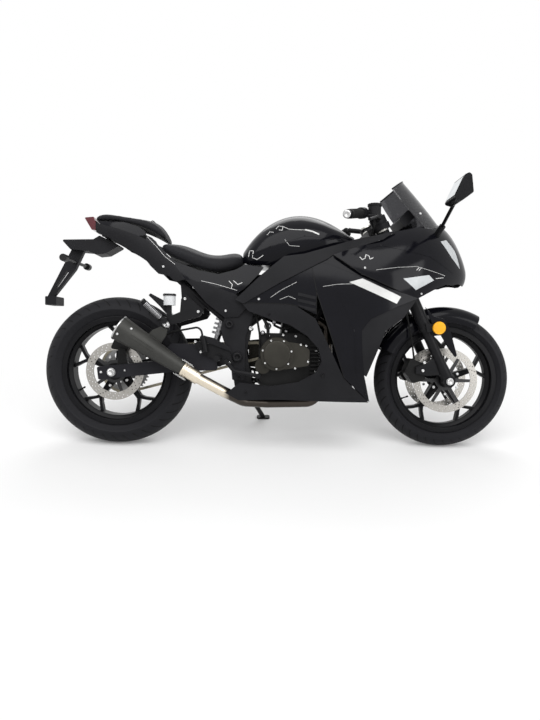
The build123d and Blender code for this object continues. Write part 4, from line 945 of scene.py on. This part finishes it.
def engine_details():
    """Cover rims, case bolts, hoses and fittings that show in the fairing's opening."""
    clutch = (674, -186, 401)
    generator = (690, 184, 396)
    shape = bmesh.new()
    bolt_ring(shape, clutch, -1, 59, 7, 4.0, first=0.2)
    for x, z in ((792, 436), (800, 372), (748, 345), (770, 440)):
        bolt(shape, (x, -172, z), (0, -1, 0), 4.5)
    case_rim = [
        (640, 476), (700, 478), (752, 474), (836, 416), (836, 330), (780, 262), (700, 256), (630, 262),
    ]
    for x, z in case_rim:
        bolt(shape, (x, -132, z), (0, -1, 0), 5.5)
    bolt_ring(shape, generator, 1, 60, 6, 4.5)
    finish_piece("case_bolts", shape, "axle_steel", "chassis")
    shape = bmesh.new()
    lathe(shape, clutch, (0, -1, 0), [(54, 0), (54, 7.2), (50, 8.2), (30, 8.6), (0, 8.8)], 56)
    lathe(shape, (674, -140, 401), (0, -1, 0), [(69, 0), (69, 10), (66, 12), (66, 40), (62, 46.5)], 56)
    lathe(shape, generator, (0, 1, 0), [(50, 0), (50, 7), (46, 8), (0, 8.5)], 48)
    finish_piece("cover_rims", shape, "cover_bronze", "chassis")
    hoses = [
        ([(610, -138, 560), (628, -150, 530), (640, -146, 500), (636, -138, 470)], 7.0),
        ([(588, -130, 566), (596, -140, 520), (606, -140, 470), (604, -136, 430)], 4.5),
        ([(700, -110, 566), (730, -128, 540), (768, -128, 520), (800, -120, 512)], 6.0),
        ([(660, -138, 520), (690, -140, 502), (716, -138, 506), (738, -132, 520)], 5.0),
        ([(584, -140, 330), (592, -150, 290), (620, -150, 268), (660, -140, 262)], 4.0),
    ]
    for index, (points, radius) in enumerate(hoses):
        wire(f"engine_hose_{index}", points, radius, "hose_rubber", "chassis")
    shape = bmesh.new()
    for centre, axis, radius, height in (
        ((636, -132, 514), (0, -1, 0), 15.0, 16.0), ((662, -132, 528), (0, -1, 0.3), 9.0, 22.0),
        ((616, -132, 486), (0, -1, 0), 10.0, 14.0), ((712, -132, 494), (0, -1, 0), 8.0, 14.0),
    ):
        neck = radius * 0.7
        profile = [(radius, 0), (radius, height * 0.7), (neck, height * 0.75), (neck, height), (0, height)]
        lathe(shape, centre, axis, profile, 16)
    finish_piece("engine_fittings", shape, "shock_steel", "chassis")


def fork_point(side, height):
    """A point on a fork leg's middle line, at a height along the leg from its foot."""
    x, y, z = FORK_FOOT
    return Vector((x, side * y, z)) + FORK_UP * height


def cockpit_details():
    """Fork caps, key barrel, reservoir screws, ribs of the grips, bar ends and screen trim."""
    up = FORK_UP
    shape = bmesh.new()
    for side in (-1, 1):
        top = fork_point(side, 746)
        lathe(shape, top, up, [(26, 0), (26, 7), (22, 9), (14, 9), (13, 5), (0, 5)], 28)
        lathe(shape, top - up * 62, up, [(26.4, 0), (26.4, 22)], 28)
    lathe(shape, Vector((1373, 0, 280.5)) + up * 712, up, [(20, 0), (20, 9), (17, 11), (0, 11)], 6)
    finish_piece("fork_caps", shape, "disc_steel", "steering")
    shape = bmesh.new()
    for x, y in ((1034, -212), (1066, -212), (1034, -180), (1066, -180)):
        bolt(shape, (x, y, 997.4), (0, 0, 1), 3.2, 2.5)
    key = (1372 + up.x * 690, 0, 306.5 + up.z * 690)
    lathe(shape, key, up, [(17, 0), (17, 18), (12, 18), (12, 12), (0, 12)], 20)
    finish_piece("cockpit_fittings", shape, "bar_black", "steering")
    run = Vector((-62, -118, -32)).normalized()
    shape = bmesh.new()
    for side in (-1, 1):
        out = Vector((run.x, run.y * -side, run.z))
        grip = Vector((988, 224 * side, 956))
        for index in range(18):
            place = grip + out * (8 + index * 6.6)
            lathe(shape, place, out, [(17.2, 0), (17.9, 1), (17.9, 3), (17.2, 4)], 20)
    finish_piece("grip_ribs", shape, "grip_rubber", "steering")
    shape = bmesh.new()
    for side in (-1, 1):
        out = Vector((run.x, run.y * -side, run.z))
        end = Vector((926, 342 * side, 924)) + out * 34
        lathe(shape, end, out, [(14.5, 0), (13, 3), (7, 3.4), (6, 1), (0, 1)], 24)
    finish_piece("bar_end_caps", shape, "axle_steel", "steering")
    edge = [
        (1141, -104, 1087), (1180, -84, 1118), (1206, -30, 1140),
        (1207, 30, 1140), (1180, 84, 1118), (1141, 104, 1087),
    ]
    wire("screen_lip", edge, 3.2, "mirror_black", "chassis")
    shape = bmesh.new()
    for side in (-1, 1):
        y = side_y(("windscreen",), 1256, 985, side)
        if y is not None:
            bolt(shape, (1256, y - side * 0.4, 985), (0.55, side, 0.25), 5.5, 5.0)
    finish_piece("screen_bolts", shape, "axle_steel", "chassis")


def mirror_glass():
    """A glass just behind each mirror's housing, towards the rider."""
    low, high = (1299.4, 993), (1328.9, 1059)
    inner, outer = 280, 368
    shape = bmesh.new()
    for side in (-1, 1):
        corners = []
        for y, (x, z) in ((inner, low), (outer, low), (outer, high), (inner, high)):
            corners.append(shape.verts.new(put(x, side * y, z)))
        shape.faces.new(corners)
    finish_piece("mirror_glass", shape, "mirror_glass", "chassis", smooth=False)


def lamp_details():
    """Reflectors behind the lamp lenses, and the pale strip over the tail lamp."""
    shape = bmesh.new()
    for side in (-1, 1):
        for x, y, z, reach in ((1384, 84, 836, 26), (1414, 58, 800, 18)):
            forward = Vector((0.8, side * 0.5, 0.1))
            bowl = [(reach, 0), (reach * 0.86, -8), (reach * 0.5, -18), (6, -22), (6, -6), (0, -4)]
            lathe(shape, (x - 14, side * y, z), forward, bowl, 28)
    finish_piece("lamp_reflectors", shape, "lamp_silver", "chassis")
    shape = bmesh.new()
    prism(shape, [(-131, 957.4), (-97, 961.2), (-93, 952), (-108, 951)], -50, 50)
    finish_piece("tail_lamp_top", shape, "pale_lens", "chassis", bevel=0.001)
    shape = bmesh.new()
    for side in (-1, 1):
        face = (1342, side * 141.9, 517)
        for reach in (24, 18, 12, 6):
            lathe(shape, face, (0, side, 0), [(reach, 0), (reach - 1.5, 0.9), (reach - 3, 0)], 36)
    finish_piece("reflector_rings", shape, "amber_lens", "steering")


def fork_details():
    """Gloss ears of the mudguard that hang in front of the fork legs, and the leg's ridges."""
    shape = bmesh.new()
    outline = [
        (1286, 604), (1322, 566), (1366, 556), (1394, 508), (1426, 404),
        (1418, 396), (1386, 436), (1352, 492), (1330, 500), (1306, 560),
    ]
    for side in (-1, 1):
        prism(shape, outline, side * 118, side * 126)
    finish_piece("fender_ears", shape, "gloss_black", "steering", smooth=False, bevel=0.003)
    shape = bmesh.new()
    for side in (-1, 1):
        lathe(shape, fork_point(side, 232), FORK_UP, [(21, 0), (27, 4), (27, 22), (26, 26)], 32)
        lathe(shape, fork_point(side, 18), FORK_UP, [(23, 0), (25, 14), (22, 60), (21, 64)], 28)
    finish_piece("fork_collars", shape, "fork_black", "steering")


def stand_details():
    """The coil that holds the side stand out or folded."""
    spring("stand_spring", (548, 132, 226), (592, 216, 148), 5.0, 1.2, 12, "side_stand")


def rest_details():
    """Ribs on the folded pegs, heel guards and the cap of the rear brake reservoir."""
    shape = bmesh.new()
    for side in (-1, 1):
        start = Vector((213, side * 172, 534))
        end = Vector((142, side * 214, 606))
        run = (end - start).normalized()
        for index in range(15):
            place = start + run * (12 + index * 5.6)
            lathe(shape, place, run, [(11, 0), (12.4, 0.8), (12.4, 2.6), (11, 3.4)], 20)
    finish_piece("peg_ribs", shape, "footrest_alloy", "chassis")
    shape = bmesh.new()
    prism(shape, [(150, 632), (158, 640), (212, 612), (240, 570), (222, 560), (196, 588)], -138, -132)
    prism(shape, [(366, 474), (356, 452), (408, 436), (486, 408), (486, 424), (420, 462)], -150.5, -146)
    finish_piece("heel_guards", shape, "matte_plastic", "chassis", smooth=False, bevel=0.002)
    shape = bmesh.new()
    cap = (236, -140, 629.6)
    lathe(shape, cap, (0, 0, 1), [(26.3, 0), (26.3, 7), (24, 9.4), (0, 9.4)], 32)
    finish_piece("reservoir_cap", shape, "bar_black", "chassis")


def soft_seat(node, name):
    """An upholstered copy of a seat's solid: remeshed, rounded and slightly crowned."""
    source = frame["nodes"][node]
    mesh = source.data.copy()
    piece = bpy.data.objects.new(name, mesh)
    bpy.context.collection.objects.link(piece)
    piece.matrix_world = source.matrix_world
    mesh.materials.clear()
    mesh.materials.append(MATERIALS["seat_vinyl"])
    remesh = piece.modifiers.new("remesh", "REMESH")
    remesh.mode = "VOXEL"
    remesh.voxel_size = SEAT_VOXEL
    relax = piece.modifiers.new("relax", "SMOOTH")
    relax.iterations = 14
    relax.factor = 0.6
    swell = piece.modifiers.new("swell", "DISPLACE")
    swell.strength = SEAT_SWELL
    swell.mid_level = 0.0
    finer = piece.modifiers.new("finer", "SUBSURF")
    finer.levels = 1
    finer.render_levels = 1
    depsgraph = bpy.context.evaluated_depsgraph_get()
    shaped = bpy.data.meshes.new_from_object(piece.evaluated_get(depsgraph))
    piece.modifiers.clear()
    piece.data = shaped
    for face in shaped.polygons:
        face.use_smooth = True
    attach(piece, "chassis")
    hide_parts(node)


def make_seats():
    """Both seat covers and the strap over the passenger's."""
    soft_seat("rider_seat", "rider_seat_cover")
    soft_seat("pillion_seat", "pillion_seat_cover")
    strap = [
        (152, -96, 922), (150, -84, 940), (146, -40, 952), (146, 0, 954),
        (146, 40, 952), (150, 84, 940), (152, 96, 922),
    ]
    wire("seat_strap", strap, 2.2, "hose_rubber", "chassis")


def dress_nodes():
    """Every solid gets the finish of its material slot, or its own where it has a pattern."""
    slots = {row["node"]: row["material_slot"] for row in frame["record"]["subparts"]}
    own = {
        "front_tyre": "front_tyre", "rear_tyre": "rear_tyre", "front_discs": "front_discs",
        "rear_disc": "rear_disc", "footrests": "frame_black", "exhaust_pipe": "header_steel",
    }
    for name, piece in frame["nodes"].items():
        piece.data.materials.clear()
        piece.data.materials.append(MATERIALS[own.get(name, slots[name])])


bpy.context.scene.view_settings.view_transform = "Standard"
make_materials()
make_camera()
make_floor()
make_lights()
dress_nodes()
graphic_lines_and_painted_highlight()
panel_lines()
fairing_joint()
fasteners()
valve_stems()
make_wheels()
muffler_details()
engine_details()
cockpit_details()
mirror_glass()
lamp_details()
fork_details()
stand_details()
rest_details()
make_seats()
